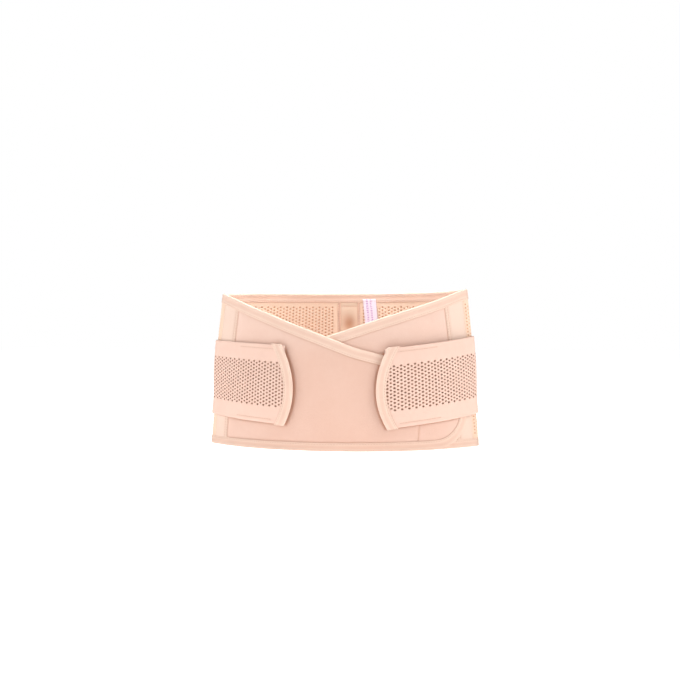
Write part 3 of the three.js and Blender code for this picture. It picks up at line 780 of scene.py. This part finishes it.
def pressed(u, z):
    """How far the straps press the padding, which also sets the painted shadow round them: 1 under a strap,
    falling off as exp(-(way / reach)²) past its end and its lower edge, and before its upper edge, which
    lies loose."""
    total = np.zeros(np.broadcast(u, z).shape)
    edge = STRAP_HEIGHT / 2
    for strap in STRAPS.values():
        way = strap[0] * u
        t = z - strap_middle(strap, way)
        beyond = np.clip(strap_end(strap, np.clip(t, -edge, edge)) - way, 0, None) / PRESSED_END
        below = np.clip(-edge - t, 0, None) / PRESSED_BELOW
        loose = np.clip(t - edge + LOOSE_EDGE, 0, None) / PRESSED_ABOVE
        total = np.maximum(total, np.exp(-(beyond**2) - below**2 - loose**2))
    return total


# %% [markdown]
# ## The front panels
# Each front panel starts at its own side seam, falls along a slope to the middle, and ends in a round
# tongue near the other side. The left one lies outside. Both are one drawing: a line, a gentler line that
# touches the tongue's circle, the circle, and the straight lower edge.

# %% The outline of a panel
SEAM_TURN = 0.09
LEAN_FADE = 60.0
STEEPEST = 3
APART = 1e-6


def wing_outline(neck):
    """The cut edge from the upper side corner down the crowned slope, the curve (1 - s)² a + 2 s (1 - s) b
    + s² c from corner a to dip c, then on to the tongue, round it and back along the floor."""
    radius = TONGUE_HEIGHT / 2
    centre = np.array([FRONT_HALF - TONGUE_SETBACK - radius, radius])
    dip = np.array([FRONT_HALF * neck[0], HEIGHT * neck[1]])
    reach = centre - dip
    touch = np.arctan2(reach[1], reach[0]) + np.arcsin(radius / np.hypot(*reach)) + np.pi / 2
    turns = np.linspace(touch, -np.pi / 2, 48)[:, None]
    arc_points = centre + radius * np.hstack([np.cos(turns), np.sin(turns)])
    corner = np.array([-FRONT_HALF, HEIGHT])
    crown = (corner + dip) / 2 + (0, 2 * NECKLINE_CROWN)
    s = np.linspace(0, 1, 40)[:, None]
    slope = (1 - s) ** 2 * corner + 2 * s * (1 - s) * crown + s**2 * dip
    return np.vstack([(-TAPE_JOIN, HEIGHT), slope, arc_points, (-TAPE_JOIN, 0)])


def panel_edges(neck, inset):
    """The upper and lower edges of a panel as functions of u, set in from the cut edge. The upper one is
    lowered by inset * sqrt(1 + slope²), with the slope held to STEEPEST."""
    outline = wing_outline(neck)
    tip = outline[:, 0].argmax()
    high, _ = even_steps(outline[: tip + 1], 1.0)
    low, _ = even_steps(outline[tip:], 1.0)
    slope = np.gradient(high[:, 1], high[:, 0] + np.arange(len(high)) * APART)
    high[:, 1] -= inset * np.sqrt(1 + np.clip(slope, -STEEPEST, STEEPEST) ** 2)

    def upper(u):
        return np.interp(u, high[:, 0], high[:, 1])

    def lower(u):
        return np.interp(u, low[::-1, 0], low[::-1, 1]) + inset

    return upper, lower


def leaning(u, z):
    """Shifts u near the side seam so that it leans: by SEAM_LEAN over the height, fading out inwards."""
    weight = np.clip((-u - SEAM_OUT + LEAN_FADE) / LEAN_FADE, 0, 1)
    return u + weight * SEAM_LEAN * (z / HEIGHT - 0.5)


# %% A padded panel
CENTRE_SHADE_SHARE = 0.28
CENTRE_SHADE_REACH = 170
SHADE_FADE_FROM, SHADE_FADE_TO = 90, 140
SHADE_FADE = 0.8


def centre_shade(u, z):
    """Painted shade on the panel, so that it looks lit less at the front's middle and foot than at its top
    and sides: deepest at the front's middle, falling off sideways as exp(-(u / reach)²) and, smoothly, by a
    share of itself on the way up."""
    rise = np.clip((z - SHADE_FADE_FROM) / (SHADE_FADE_TO - SHADE_FADE_FROM), 0, 1)
    kept = 1 - SHADE_FADE * rise**2 * (3 - 2 * rise)
    return CENTRE_SHADE_SHARE * np.exp(-((u / CENTRE_SHADE_REACH) ** 2)) * kept


# The lines of the panel's grid, its thickness at the tapes and past them in millimetres, and the depths,
# painted shades and reaches of its grooves, its sewn line and the dents under the straps
PANEL_COLUMNS = 236
PANEL_ROWS = 90
TONGUE_COLUMNS = 22
TONGUE_TURN = 1.45
EASED = 0.35
SEWN_COLUMNS = np.array([-1.3, -0.65, 0.0, 0.65, 1.3])
PANEL_RIM = 0.5
PANEL_SWELL = 0.25
SWELL_REACH = 3.0
TONGUE_BORDER = 7.0
FAR_OFF = 1e3
GROOVE_SHADE, GROOVE_SPREAD = 0.35, 1.2
SEWN_DEPTH, SEWN_SHADE, SEWN_REACH = 0.5, 0.55, 1.1
DENT_DEPTH, STRAP_SHADOW = 0.3, 0.8


def panel(neck, layer, seam=None):
    """A padded panel: a grid from the side seam to the tongue between its lower and upper edges, with its
    rows a little closer at the edges. Its half thickness swells from PANEL_RIM under the tapes as 1 -
    exp(-reach / SWELL_REACH), and dips along a sewn line and where the straps press it. Painted shade
    darkens it in the grooves along its tapes and seam, along the sewn line, round the straps as their
    shadow, and towards the front's middle and foot. The inner panel has no seam."""
    side = -1 if seam is None else 1
    radius = TONGUE_HEIGHT / 2
    end_radius = radius - UNDER_TAPE
    start, bend = -SEAM_OUT + SEAM_WIDTH / 2, FRONT_HALF - TONGUE_SETBACK - radius
    straight = np.linspace(start, bend, PANEL_COLUMNS)
    if seam is not None:
        straight = np.sort(np.concatenate([straight, seam + SEWN_COLUMNS]))
    round_end = bend + end_radius * np.sin(np.linspace(0, TONGUE_TURN, TONGUE_COLUMNS)[1:])
    u = np.concatenate([straight, round_end])[:, None]
    t = (1 - np.cos(np.linspace(0, np.pi, PANEL_ROWS))) / 2
    t = EASED * t + (1 - EASED) * np.linspace(0, 1, PANEL_ROWS)
    upper, lower = panel_edges(neck, UNDER_TAPE)
    ends = np.sqrt(np.clip(end_radius**2 - np.clip(u - bend, 0, None) ** 2, 0, None))
    z_low = np.where(u > bend, radius - ends, lower(u))
    z_high = np.where(u > bend, radius + ends, upper(u))
    z = z_low + (z_high - z_low) * t
    u = leaning(u, z)
    tongue = np.where(u > bend, end_radius - np.hypot(u - bend, z - radius), FAR_OFF)
    to_top, to_floor = z_high - z - TOP_TAPE + UNDER_TAPE, z - z_low - BOTTOM_TAPE + UNDER_TAPE
    to_seam = u - (SEAM_LEAN * (z / HEIGHT - 0.5) - SEAM_IN)
    reach = np.clip(np.minimum.reduce([to_top, to_floor, to_seam, tongue - TONGUE_BORDER]), 0, None)
    full = PANEL_THICKNESS / 2 - PANEL_RIM + PANEL_SWELL
    half = PANEL_RIM + full * (1 - np.exp(-reach / SWELL_REACH))
    # Painted shade in the grooves along the panel's tapes and seam
    hollow = GROOVE_SHADE * np.exp(-(reach**2) / GROOVE_SPREAD)
    # Painted shade: deeper at the front's middle and foot, where less light falls
    hollow = 1 - (1 - hollow) * (1 - centre_shade(u, z))
    if seam is not None:
        sewn = np.exp(-(((u - seam - SEAM_TURN * (z - radius)) / SEWN_REACH) ** 2))
        half = half - SEWN_DEPTH * sewn
        hollow = np.maximum(hollow, SEWN_SHADE * sewn)
    dent = pressed(side * u, z)
    half = half - DENT_DEPTH * dent
    # Painted shadow of the straps: darker under them and just past their ends and lower edges
    hollow = np.maximum(hollow, STRAP_SHADOW * dent)
    return slab(u, z, layer(u, z), half, hollow=hollow)


# %% Making the front panels
TONGUE_SEAM = 88.0
SEAM_HEIGHTS = (BOTTOM_TAPE, TONGUE_HEIGHT - 8)
SEWN_HALF = 0.66

seam_line = [(TONGUE_SEAM + SEAM_TURN * (z - TONGUE_HEIGHT / 2), z) for z in SEAM_HEIGHTS]
outer_parts = [panel(OUTER_NECK, outer_layer, TONGUE_SEAM)] + stitches(seam_line, outer_layer, SEWN_HALF)
outer_panel = make_piece("outer_panel_cloth", outer_parts, [PANEL_CLOTH, THREAD], "outer_panel")
inner_parts = [panel(INNER_NECK, inner_layer)]
inner_panel = make_piece("inner_panel_cloth", inner_parts, [PANEL_CLOTH], "inner_panel", True)

tape_widths = (TOP_TAPE, TOP_TAPE, TOP_TAPE, BOTTOM_TAPE, BOTTOM_TAPE)
# Painted shade along the edge tape: darker round the tongue and along the lower edge, where less light falls
tape_shades = (0, 0, 0, 0, 0.05, 0.15, 0.2, 0.12, 0.0)
tape_parts = tape(wing_outline(OUTER_NECK), tape_widths, outer_layer, painted_shades=tape_shades)
outer_tape = make_piece("outer_edge_tape", tape_parts, tape_cloths, "outer_binding")
tape_parts = tape(wing_outline(INNER_NECK), tape_widths, inner_layer, painted_shades=tape_shades)
inner_tape = make_piece("inner_edge_tape", tape_parts, tape_cloths, "inner_binding", True)

# %% [markdown]
# ## Seams and side strips
# Beside each crease runs a plain strip, and a narrow seam tape with two rows of stitches joins it to the
# panel. They lean a little with the cut, and pass under the edge tapes above and below.

# %% Strips
SEAM_ROW = 1.4
ROW_FOOT, ROW_HEAD = 7, 8
STRIP_ROWS = 72
STRIP_EDGE = 0.55
STRIP_CROWN = 0.15
EDGE_SHADE = 0.5
ROW_SHADE, ROW_REACH = 0.4, 0.45


def strip(u0, u1, half, top, leans, crown=0.0, columns=13, sewn=None):
    """A narrow strip from u0 to u1, up to the height top(u), whose edges lean: its surface rises from
    STRIP_EDGE * half at its long edges to half + crown as 1 - (2s - 1)^8. It has painted shade, half the
    full share, in the grooves at its edges, and a little less along a line sewn at that share of its width."""
    s = np.linspace(0, 1, columns)[:, None]
    t = np.linspace(0, 1, STRIP_ROWS)[None, :]
    u = u0 + (u1 - u0) * s
    z = UNDER_TAPE + (top(u) - UNDER_TAPE) * t
    u = u + (leans[0] + (leans[1] - leans[0]) * s) * (z / HEIGHT - 0.5)
    side = (2 * s - 1) ** 8
    swell = STRIP_EDGE * half + (half * (1 - STRIP_EDGE) + crown) * (1 - side)
    hollow = EDGE_SHADE * side
    if sewn is not None:
        hollow = np.maximum(hollow, ROW_SHADE * np.exp(-(((s - sewn) * (u1 - u0) / ROW_REACH) ** 2)))
    return slab(u, z, 0.0, swell, hollow=hollow)


def stitched_strip(u0, u1, top, row, lean=SEAM_LEAN):
    """A seam's strip with two rows of stitches on both faces, each at the distance row from its edge."""
    half, width = SEAM_THICKNESS / 2, abs(u1 - u0)
    made = [strip(u0, u1, half, top, (lean, lean), sewn=row / width)]
    for way in (row, width - row):
        u = u0 + np.sign(u1 - u0) * way
        line = [(u + lean * (z / HEIGHT - 0.5), z) for z in (UNDER_TAPE + ROW_FOOT, top(u) - ROW_HEAD)]
        made += stitches(line, level, half)
    return made


for side, neck in (("left", OUTER_NECK), ("right", INNER_NECK)):
    upper, _ = panel_edges(neck, UNDER_TAPE)
    under_seam = -SEAM_OUT + SEAM_WIDTH / 3
    seam_parts = stitched_strip(-SEAM_OUT, -SEAM_IN, upper, SEAM_ROW)
    strip_parts = [strip(-STRIP_OUT, under_seam, PANEL_THICKNESS / 2, upper, (0, SEAM_LEAN), STRIP_CROWN, 25)]
    flip = side == "right"
    make_piece(f"side_seam_tape_{side}", seam_parts, tape_cloths, f"side_seam_{side}", flip)
    make_piece(f"side_strip_cloth_{side}", strip_parts, [STRIP_CLOTH], f"side_strip_{side}", flip)

# %% [markdown]
# ## The open mesh
# The elastic of the back and of the straps is knitted with rows of small oval holes, every second column
# set half a row higher and a little smaller. Each hole is a set of rings between its oval and its cell's
# rim, from the outer face over a round lip into the hole and out on the inner face. The holes' walls, and
# the straps' inner face, carry painted shade. The straps' holes go through; the back's are backed half way
# by the fine net of a spacer cloth, painted in full shade, so they look like dark dots.

# %% Perforated cloth
SMALL_HOLE = 0.86
NET_LEVEL = 0.15
LIP_WIDTH = 0.16
CREST_PLACE = 0.4

# Column pitch, row pitch, and half width and half height of the larger holes
STRAP_WEAVE = (3.75, 3.85, 1.12, 0.86)
BACK_WEAVE = (4.1, 3.7, 1.05, 0.8)
RING_WAYS = np.array([(1, 0), (1, 1), (0, 1), (-1, 1), (-1, 0), (-1, -1), (0, -1), (1, -1)])


def perforated(weave, s_field, t_field, half, reverse=0.0, blind=False):
    """Cloth on lines s and t with a field of holes. Each way, the field is given as the plain lines before
    it, its start, its number of holes and the plain lines after it. Lines half a pitch apart cross it, so
    each cell's rim is eight points of the sheet. Cell point = centre + ring, with the rings going from the
    rim over a round lip to the oval; outside the field, and in the half cells of odd columns, the cloth is
    plain. Painted shade darkens the holes' walls, and the inner face by the share reverse. A blind hole is
    closed by a fine net, painted in full shade."""
    (before, s_start, columns, after), (below, t_start, rows, above) = s_field, t_field
    pitch, hole = np.array(weave[:2]), np.array(weave[2:])
    s = np.concatenate([before, s_start + np.arange(2 * columns + 1) * pitch[0] / 2, after])
    t = np.concatenate([below, t_start + np.arange(2 * rows + 1) * pitch[1] / 2, above])
    a, b = np.meshgrid(np.arange(len(s) - 1) - len(before), np.arange(len(t) - 1) - len(below), indexing="ij")
    in_field = (a >= 0) & (a < 2 * columns) & (b >= 0) & (b < 2 * rows)
    half_cell = ((a // 2) % 2 == 1) & ((b == 0) | (b == 2 * rows - 1))
    face = grid_quads(len(s), len(t))[(~in_field | half_cell).ravel()]
    count = len(s) * len(t)
    sheet = np.stack(np.meshgrid(s, t, indexing="ij"), -1).reshape(-1, 2)
    points = [np.column_stack([sheet, np.full(count, side * half)]) for side in (1, -1)]
    quads = [face, face[:, ::-1] + count, rim_walls(len(s), len(t))]

    column, row = (grid.ravel() for grid in np.meshgrid(np.arange(columns), np.arange(rows), indexing="ij"))
    odd = column % 2
    kept = (odd == 0) | (row < rows - 1)
    column, row, odd = column[kept], row[kept], odd[kept]
    middle = np.column_stack([len(before) + 1 + 2 * column, len(below) + 1 + 2 * row + odd])
    cell_rim = (middle[:, :1] + RING_WAYS[:, 0]) * len(t) + middle[:, 1:] + RING_WAYS[:, 1]
    centre = np.column_stack([s[middle[:, 0]], t[middle[:, 1]]])
    turn = np.arange(8) * np.pi / 4
    round_ways = np.stack([np.cos(turn), np.sin(turn)], -1)
    oval = round_ways * hole * np.where(odd, SMALL_HOLE, 1.0)[:, None, None]
    lip = oval + LIP_WIDTH * round_ways
    crest = lip + (RING_WAYS * pitch / 2 - lip) * CREST_PLACE

    # Rings from the outer face inwards, with their height as a share of half the thickness and painted shade
    rings = [(crest, 0.97, 0.05), (lip, 0.7, 0.5), (oval, NET_LEVEL if blind else 0.0, 1.0)]
    way_out = rings[::-1] if blind else rings[-2::-1]
    rings += [(ring, -rise, dark + reverse * (1 - dark)) for ring, rise, dark in way_out]
    shape = oval.shape[:2]
    cells = [np.dstack([centre[:, None] + ring, np.full(shape, half * rise)]) for ring, rise, _ in rings]
    cells = np.stack(cells, 1)
    own = 2 * count + np.arange(cells[..., 0].size).reshape(len(centre), len(rings), 8)
    near = np.concatenate([cell_rim[:, None], own, cell_rim[:, None] + count], 1)
    follow = np.roll(near, -1, 2)
    bands = np.stack([near[:, :-1], follow[:, :-1], follow[:, 1:], near[:, 1:]], -1)
    if blind:
        net = np.array([(0, 1, 2, 3), (0, 3, 4, 7), (4, 5, 6, 7)])
        quads += [near[:, 3][:, net].reshape(-1, 4), near[:, 4][:, net[:, ::-1]].reshape(-1, 4)]
        bands = np.delete(bands, 3, 1)
    quads.append(bands.reshape(-1, 4))
    in_cells = np.tile(np.repeat([dark for _, _, dark in rings], 8), len(centre))
    hollow = np.concatenate([np.zeros(count), np.full(count, reverse), in_cells])
    print("  holes:", len(centre))
    return np.vstack(points + [cells.reshape(-1, 3)]), np.concatenate(quads), hollow


# %% The back's two halves
SELVEDGE_BAND = 3.5
OUTSIDE_TONE = 0.35
PLAIN_RIGHT, PLAIN_LEFT = 1.2, 7.0
UNDER_STRIP = 4
UNDER_TOP_TAPE = 7


def back_mesh(plain_start):
    """Half of the back, drawn for the right side: thin under the side strip, open to the back seam from
    plain_start past the strip's edge, with a plain band along its upper and lower edges. Its outer face is
    drawn a little darker than its inner face."""
    start = STRIP_OUT + plain_start
    end = BACK_MIDDLE - BACK_SEAM_OUT + BACK_SEAM_WIDTH / 2
    column_pitch, row_pitch = BACK_WEAVE[:2]
    columns = int((end - BACK_SEAM_WIDTH - start) / column_pitch)
    low, high = BOTTOM_TAPE + SELVEDGE_BAND, HEIGHT - TOP_TAPE - SELVEDGE_BAND
    rows = int((high - low) / row_pitch)
    low = (low + high - rows * row_pitch) / 2
    before = np.linspace(STRIP_OUT - UNDER_STRIP, start, 5)[:-1]
    after = np.linspace(start + columns * column_pitch, end, 4)[1:]
    below = np.linspace(UNDER_TAPE, low, 7)[:-1]
    above = np.linspace(low + rows * row_pitch, HEIGHT - UNDER_TOP_TAPE, 6)[1:]
    fields = (before, start, columns, after), (below, low, rows, above)
    points, quads, hollow = perforated(BACK_WEAVE, *fields, MESH_THICKNESS / 2, blind=True)
    hollow = np.maximum(hollow, OUTSIDE_TONE * (points[:, 2] > 0))
    points[:, 2] *= np.clip(points[:, 0] - STRIP_OUT, 0.5, 1)
    return part(points, quads, hollow=hollow)


mesh_parts = [back_mesh(PLAIN_RIGHT)]
back_right = make_piece("back_mesh_cloth_right", mesh_parts, [MESH_CLOTH], "back_mesh_right")
mesh_parts = [back_mesh(PLAIN_LEFT)]
back_left = make_piece("back_mesh_cloth_left", mesh_parts, [MESH_CLOTH], "back_mesh_left", True)


# %% [markdown]
# ## The middle of the back
# Where the two meshes end, a smooth satin panel runs down the belt between two seam tapes, narrower than
# those of the front. Near its top it is tacked from behind, which draws a soft dent into its inner face,
# and one row of stitches holds it across.

# %% The smooth panel and its seams
BACK_SEAM_ROW = 1.1
PANEL_LAP = 1.5
TACK_DEPTH, TACK_HEIGHT = 1.5, 0.79
TACK_REACH = (7, 10)
TACK_SHADE = 0.75
CROSS_ROW = HEIGHT - TOP_TAPE - 4.5
CROSS_DEPTH = 0.5
BORDER_SHADE = 0.8


def back_panel():
    """The smooth panel: a strip with a soft dent, TACK_DEPTH * exp(-(du / 7)² - (dz / 10)²), where it is
    tacked, and a groove with one row of stitches across. Painted shade darkens its seam edges, and the dent
    on the inner face only."""
    s = np.linspace(-1, 1, 25)[:, None]
    z = np.linspace(UNDER_TAPE, HEIGHT - UNDER_TAPE, 120)[None, :]
    along, up = s * CENTRE_EDGE / TACK_REACH[0], (z - TACK_HEIGHT * HEIGHT) / TACK_REACH[1]
    dent = TACK_DEPTH * np.exp(-(along**2) - up**2)
    dent = dent + CROSS_DEPTH * np.exp(-((z - CROSS_ROW) ** 2)) * (1 - s**4)
    half = 0.5 + (PANEL_THICKNESS / 2 - 0.5) * (1 - np.abs(s) ** 5)
    dark = BORDER_SHADE * np.abs(s) ** 14
    inside = dark + np.clip(dent / TACK_DEPTH, 0, 1) * TACK_SHADE
    u = BACK_MIDDLE + s * (CENTRE_EDGE + PANEL_LAP)
    line = [(BACK_MIDDLE + side * (CENTRE_EDGE - 1), CROSS_ROW) for side in (-1, 1)]
    threads = stitches(line, level, PANEL_THICKNESS / 2 - 0.45, (-1,))
    return [slab(u, z, dent, half, hollow=dark, inside=inside)] + threads


def back_top(u):
    """The upper ends of the back's seam tapes."""
    return HEIGHT - UNDER_TAPE + 0 * u


satin_cloths = [SATIN_CLOTH, THREAD]
centre_back = make_piece("centre_back_cloth", back_panel(), satin_cloths, "centre_back_panel")
for side, way in (("right", -1), ("left", 1)):
    u0, u1 = BACK_MIDDLE + way * (CENTRE_EDGE + GAP), BACK_MIDDLE + way * BACK_SEAM_OUT
    seam_parts = stitched_strip(u0, u1, back_top, BACK_SEAM_ROW, 0.0)
    make_piece(f"back_seam_tape_{side}", seam_parts, tape_cloths, f"back_seam_{side}")

# %% [markdown]
# ## The side straps
# A strap is a band of the same perforated elastic between two plain selvedges. It is sewn on at the back
# seam, runs round the crease outside everything else, and its end, bound with a curved tape, clings to the
# front by the hook tape behind it. Both straps are drawn for the right side; the left one is mirrored.

# %% Building a strap
FIELD_LAP = 0.6
FIELD_END = 6.5
LOWER_LINES = [0, 0.35, 0.9, 1.6, 2.4]
SEWN_LINES = np.array([-0.7, 0, 0.7])
END_LINES = np.array([1, 0.66, 0.4, 0.15])
RIM_SHARE, RIM_ROUND = 0.72, 1.6
BEAD_RISE, BEAD_PLACE, BEAD_REACH = 0.16, 1.9, 0.8
THIN_END = 0.6
HOOK_ROW_SHADE, HOOK_ROW_REACH = 0.35, 0.5
TAPE_SIDE_SHADE, TAPE_SIDE_REACH = 0.4, 0.9


def hook_start(strap):
    """Where the hook tape begins: beside the end tape, at the height of its two ends."""
    return strap_end(strap, STRAP_HEIGHT / 2, STRAP_TAPE)


def strap_cloth(strap):
    """The elastic: a perforated field between selvedges, and a plain stretch from the last column to the
    curved end under its tape. A selvedge is thinner at its rim and has a bead just inside it. Painted shade
    darkens the hook tape's stitch rows and the elastic just beside the end tape."""
    last = strap_end(strap, 0.0, STRAP_TAPE - FIELD_LAP)
    column_pitch, row_pitch = STRAP_WEAVE[:2]
    columns = int((STRAP_START - FIELD_END - last) / column_pitch)
    rows = int(round((STRAP_HEIGHT - 2 * SELVEDGE) / row_pitch))
    low = -rows * row_pitch / 2
    after = np.linspace(last + columns * column_pitch, STRAP_START, 5)[1:]
    edge = STRAP_HEIGHT / 2
    below = np.concatenate([LOWER_LINES, HOOK_STITCH + SEWN_LINES])
    below = np.concatenate([below, np.linspace(below[-1], edge + low, 8)[1:-1]]) - edge
    fields = (last - END_LINES, last, columns, after), (below, low, rows, -below[::-1])
    points, quads, hollow = perforated(STRAP_WEAVE, *fields, STRAP_THICKNESS / 2, REVERSE_SHADE)
    s, t, n = points.T
    ended = np.clip(last - s, 0, 1)
    u = np.where(s < last, last + (strap_end(strap, t, UNDER_TAPE) - last) * ended, s)
    inset = edge - np.abs(t)
    rim = np.clip(inset / RIM_ROUND, 0, 1)
    bead = BEAD_RISE * np.exp(-(((inset - BEAD_PLACE) / BEAD_REACH) ** 2))
    n = n * (RIM_SHARE + (1 - RIM_SHARE) * rim**0.6) + np.sign(n) * bead
    n = n * np.where(s < last, THIN_END + (1 - THIN_END) * (1 - ended), 1)
    on_hook = (u > hook_start(strap)) & (u < hook_start(strap) + HOOK_LENGTH)
    sewn = HOOK_ROW_SHADE * on_hook * np.exp(-(((inset - HOOK_STITCH) / HOOK_ROW_REACH) ** 2))
    from_tape = u - strap_end(strap, t, STRAP_TAPE)
    beside_tape = TAPE_SIDE_SHADE * np.exp(-((from_tape / TAPE_SIDE_REACH) ** 2))
    hollow = np.maximum.reduce([hollow, sewn, beside_tape])
    n = strap_layer(strap, u) + (n - THREAD_SINK * np.sign(n) * sewn)
    place = np.column_stack([u, strap_middle(strap, u) + t, n])
    return part(place, quads, np.column_stack([t, u]), hollow=hollow)


def strap_stitches(strap):
    """The hook tape's stitching, along the strap inside its two edges, and two rows at the back seam."""
    u = np.linspace(hook_start(strap), hook_start(strap) + HOOK_LENGTH, 20)
    rise = STRAP_HEIGHT / 2 - HOOK_STITCH
    lines = [np.column_stack([u, strap_middle(strap, u) + way * rise]) for way in (1, -1)]
    t = np.linspace(-STRAP_HEIGHT / 2 + 3, STRAP_HEIGHT / 2 - 3, 20)
    for u in (STRAP_START - 2, STRAP_START - 5):
        lines.append(np.column_stack([np.full(20, u), strap_middle(strap, u) + t]))
    made = []
    for line in lines:
        made += stitches(line, lambda u, z: strap_layer(strap, u), STRAP_THICKNESS / 2 - 0.05, (1,))
    return made


def strap_end_tape(strap):
    """The curved tape over the strap's end, a little longer than the strap is high."""
    t = np.linspace(-1, 1, 60) * (STRAP_HEIGHT / 2 + STRAP_TAPE_OVERHANG)
    u = strap_end(strap, t)
    edge = np.column_stack([u, strap_middle(strap, u) + t])
    across = np.array([1.0, strap_middle(strap, u[0] + 1) - strap_middle(strap, u[0])])
    across /= np.linalg.norm(across)
    return tape(edge, (STRAP_TAPE, STRAP_TAPE), lambda u, z: strap_layer(strap, u), 1.8, (1,), across=across)


def hook_patch(strap):
    """The hook tape behind the strap's end: a flat slab."""
    u = np.linspace(hook_start(strap), hook_start(strap) + HOOK_LENGTH, 24)[:, None]
    t = np.linspace(-1, 1, 40)[None, :] * (STRAP_HEIGHT / 2 - HOOK_MARGIN)
    middle = strap_layer(strap, u) - STRAP_THICKNESS / 2 - GAP - HOOK_THICKNESS / 2
    return slab(u, strap_middle(strap, u) + t, middle, HOOK_THICKNESS / 2)


for side, strap in STRAPS.items():
    flip = side == "left"
    band = [strap_cloth(strap)] + strap_stitches(strap)
    ending = strap_end_tape(strap)
    make_piece(f"strap_elastic_{side}", band, [ELASTIC_CLOTH, THREAD], f"strap_{side}", flip)
    make_piece(f"strap_end_tape_{side}", ending, tape_cloths, f"strap_tape_{side}", flip)
    make_piece(f"hook_tape_{side}", [hook_patch(strap)], [HOOK_CLOTH], f"hook_patch_{side}", flip)

# %% [markdown]
# ## The label
# A small white satin label hangs inside the back, caught under the top tape. Two columns of broken lilac
# dashes stand for what is woven on it; there are no words.

# %% Label
LABEL_WIDTH = 17.0
LABEL_LENGTH = 38.0
LABEL_SETBACK = 4.0
LABEL_TILT = np.radians(5)
LABEL_HALF_THICKNESS = 0.2
LABEL_CURL = 1.0
LABEL_BOW = 0.35


def label_parts():
    """A thin strip that leans, curls away from the mesh towards its foot as the square of the way down, and
    bows across its width. Its top goes a little way up under the tape."""
    s = np.linspace(0, 1, 15)[:, None]
    t = np.linspace(-0.12, 1, 40)[None, :]
    down = t * LABEL_LENGTH
    u = BACK_MIDDLE - BACK_SEAM_OUT - LABEL_SETBACK - s * LABEL_WIDTH - down * np.sin(LABEL_TILT)
    z = HEIGHT - TOP_TAPE - GAP - down * np.cos(LABEL_TILT)
    curl = LABEL_CURL * np.clip(t, 0, 1) ** 2 + LABEL_BOW * np.sin(np.pi * s) * np.clip(t, 0, 1)
    middle = -(MESH_THICKNESS / 2 + GAP + LABEL_HALF_THICKNESS) - curl
    uv = np.stack(np.broadcast_arrays(s * LABEL_WIDTH, down), -1)
    return [slab(u, z, middle, LABEL_HALF_THICKNESS, uv=uv)]


label = make_piece("label_cloth", label_parts(), [LABEL_CLOTH], "label")

# %% [markdown]
# ## Floor and light
# A catalogue picture of this kind is taken on a light table, a white floor that glows, in a white room,
# with a large soft lamp at each side and a small one above that looks into the loop. The flat light leaves
# little shade of its own: the cloth's hollows and the rims round the straps' ends are darkened mostly by
# painted shade, and the lamps at the sides add real shadows beside the straps' ends.

# %% Stage
FLOOR_GLOW = 0.68
FLOOR_SHARE = 0.8
ROOM_LIGHT = 0.42


def glowing_floor():
    """Matt white that gives off a little light of its own."""
    material = bpy.data.materials.new("light_table")
    material.use_nodes = True
    shader = material.node_tree.nodes["Principled BSDF"]
    shader.inputs["Base Color"].default_value = (FLOOR_SHARE, FLOOR_SHARE, FLOOR_SHARE, 1)
    shader.inputs["Roughness"].default_value = 0.9
    shader.inputs["Emission Color"].default_value = (1, 1, 1, 1)
    shader.inputs["Emission Strength"].default_value = FLOOR_GLOW
    return material


floor_mesh = bpy.data.meshes.new("floor")
floor_mesh.from_pydata([(-6, -6, 0), (6, -6, 0), (6, 6, 0), (-6, 6, 0)], [], [(0, 1, 2, 3)])
floor_mesh.materials.append(glowing_floor())
floor = new_object("floor", floor_mesh)

BELT_MIDDLE = (0, 0, 0.08)


def lamp(name, place, energy, size):
    """A square area lamp at place that looks at the belt's middle."""
    light = bpy.data.lights.new(name, "AREA")
    light.energy = energy
    light.size = size
    source = new_object(name, light)
    source.location = place
    way = np.array(BELT_MIDDLE) - np.array(place)
    dip = np.arccos(-way[2] / np.linalg.norm(way))
    source.rotation_euler = (dip, 0, np.arctan2(way[1], way[0]) - np.pi / 2)


lamp("right_box", (1.5, -0.5, 0.8), 14.5, 1.2)
lamp("left_box", (-1.5, -0.5, 0.8), 13, 1.2)
lamp("top_box", (0.1, -0.25, 0.75), 0.9, 0.4)
lamp("inside_box", (0, 0, 0.5), 2.15, 0.12)


def white_room():
    """A world that looks white and sends less light than it shows, as a room behind a light table."""
    world = bpy.data.worlds.new("white_room")
    world.use_nodes = True
    tree = world.node_tree
    rays = tree.nodes.new("ShaderNodeLightPath")
    strength = calculator(tree)("MULTIPLY_ADD", rays.outputs["Is Camera Ray"], 1 - ROOM_LIGHT, ROOM_LIGHT)
    tree.nodes["Background"].inputs["Color"].default_value = (1, 1, 1, 1)
    tree.links.new(strength, tree.nodes["Background"].inputs["Strength"])
    return world


bpy.context.scene.world = white_room()
bpy.context.scene.view_settings.view_transform = "Standard"
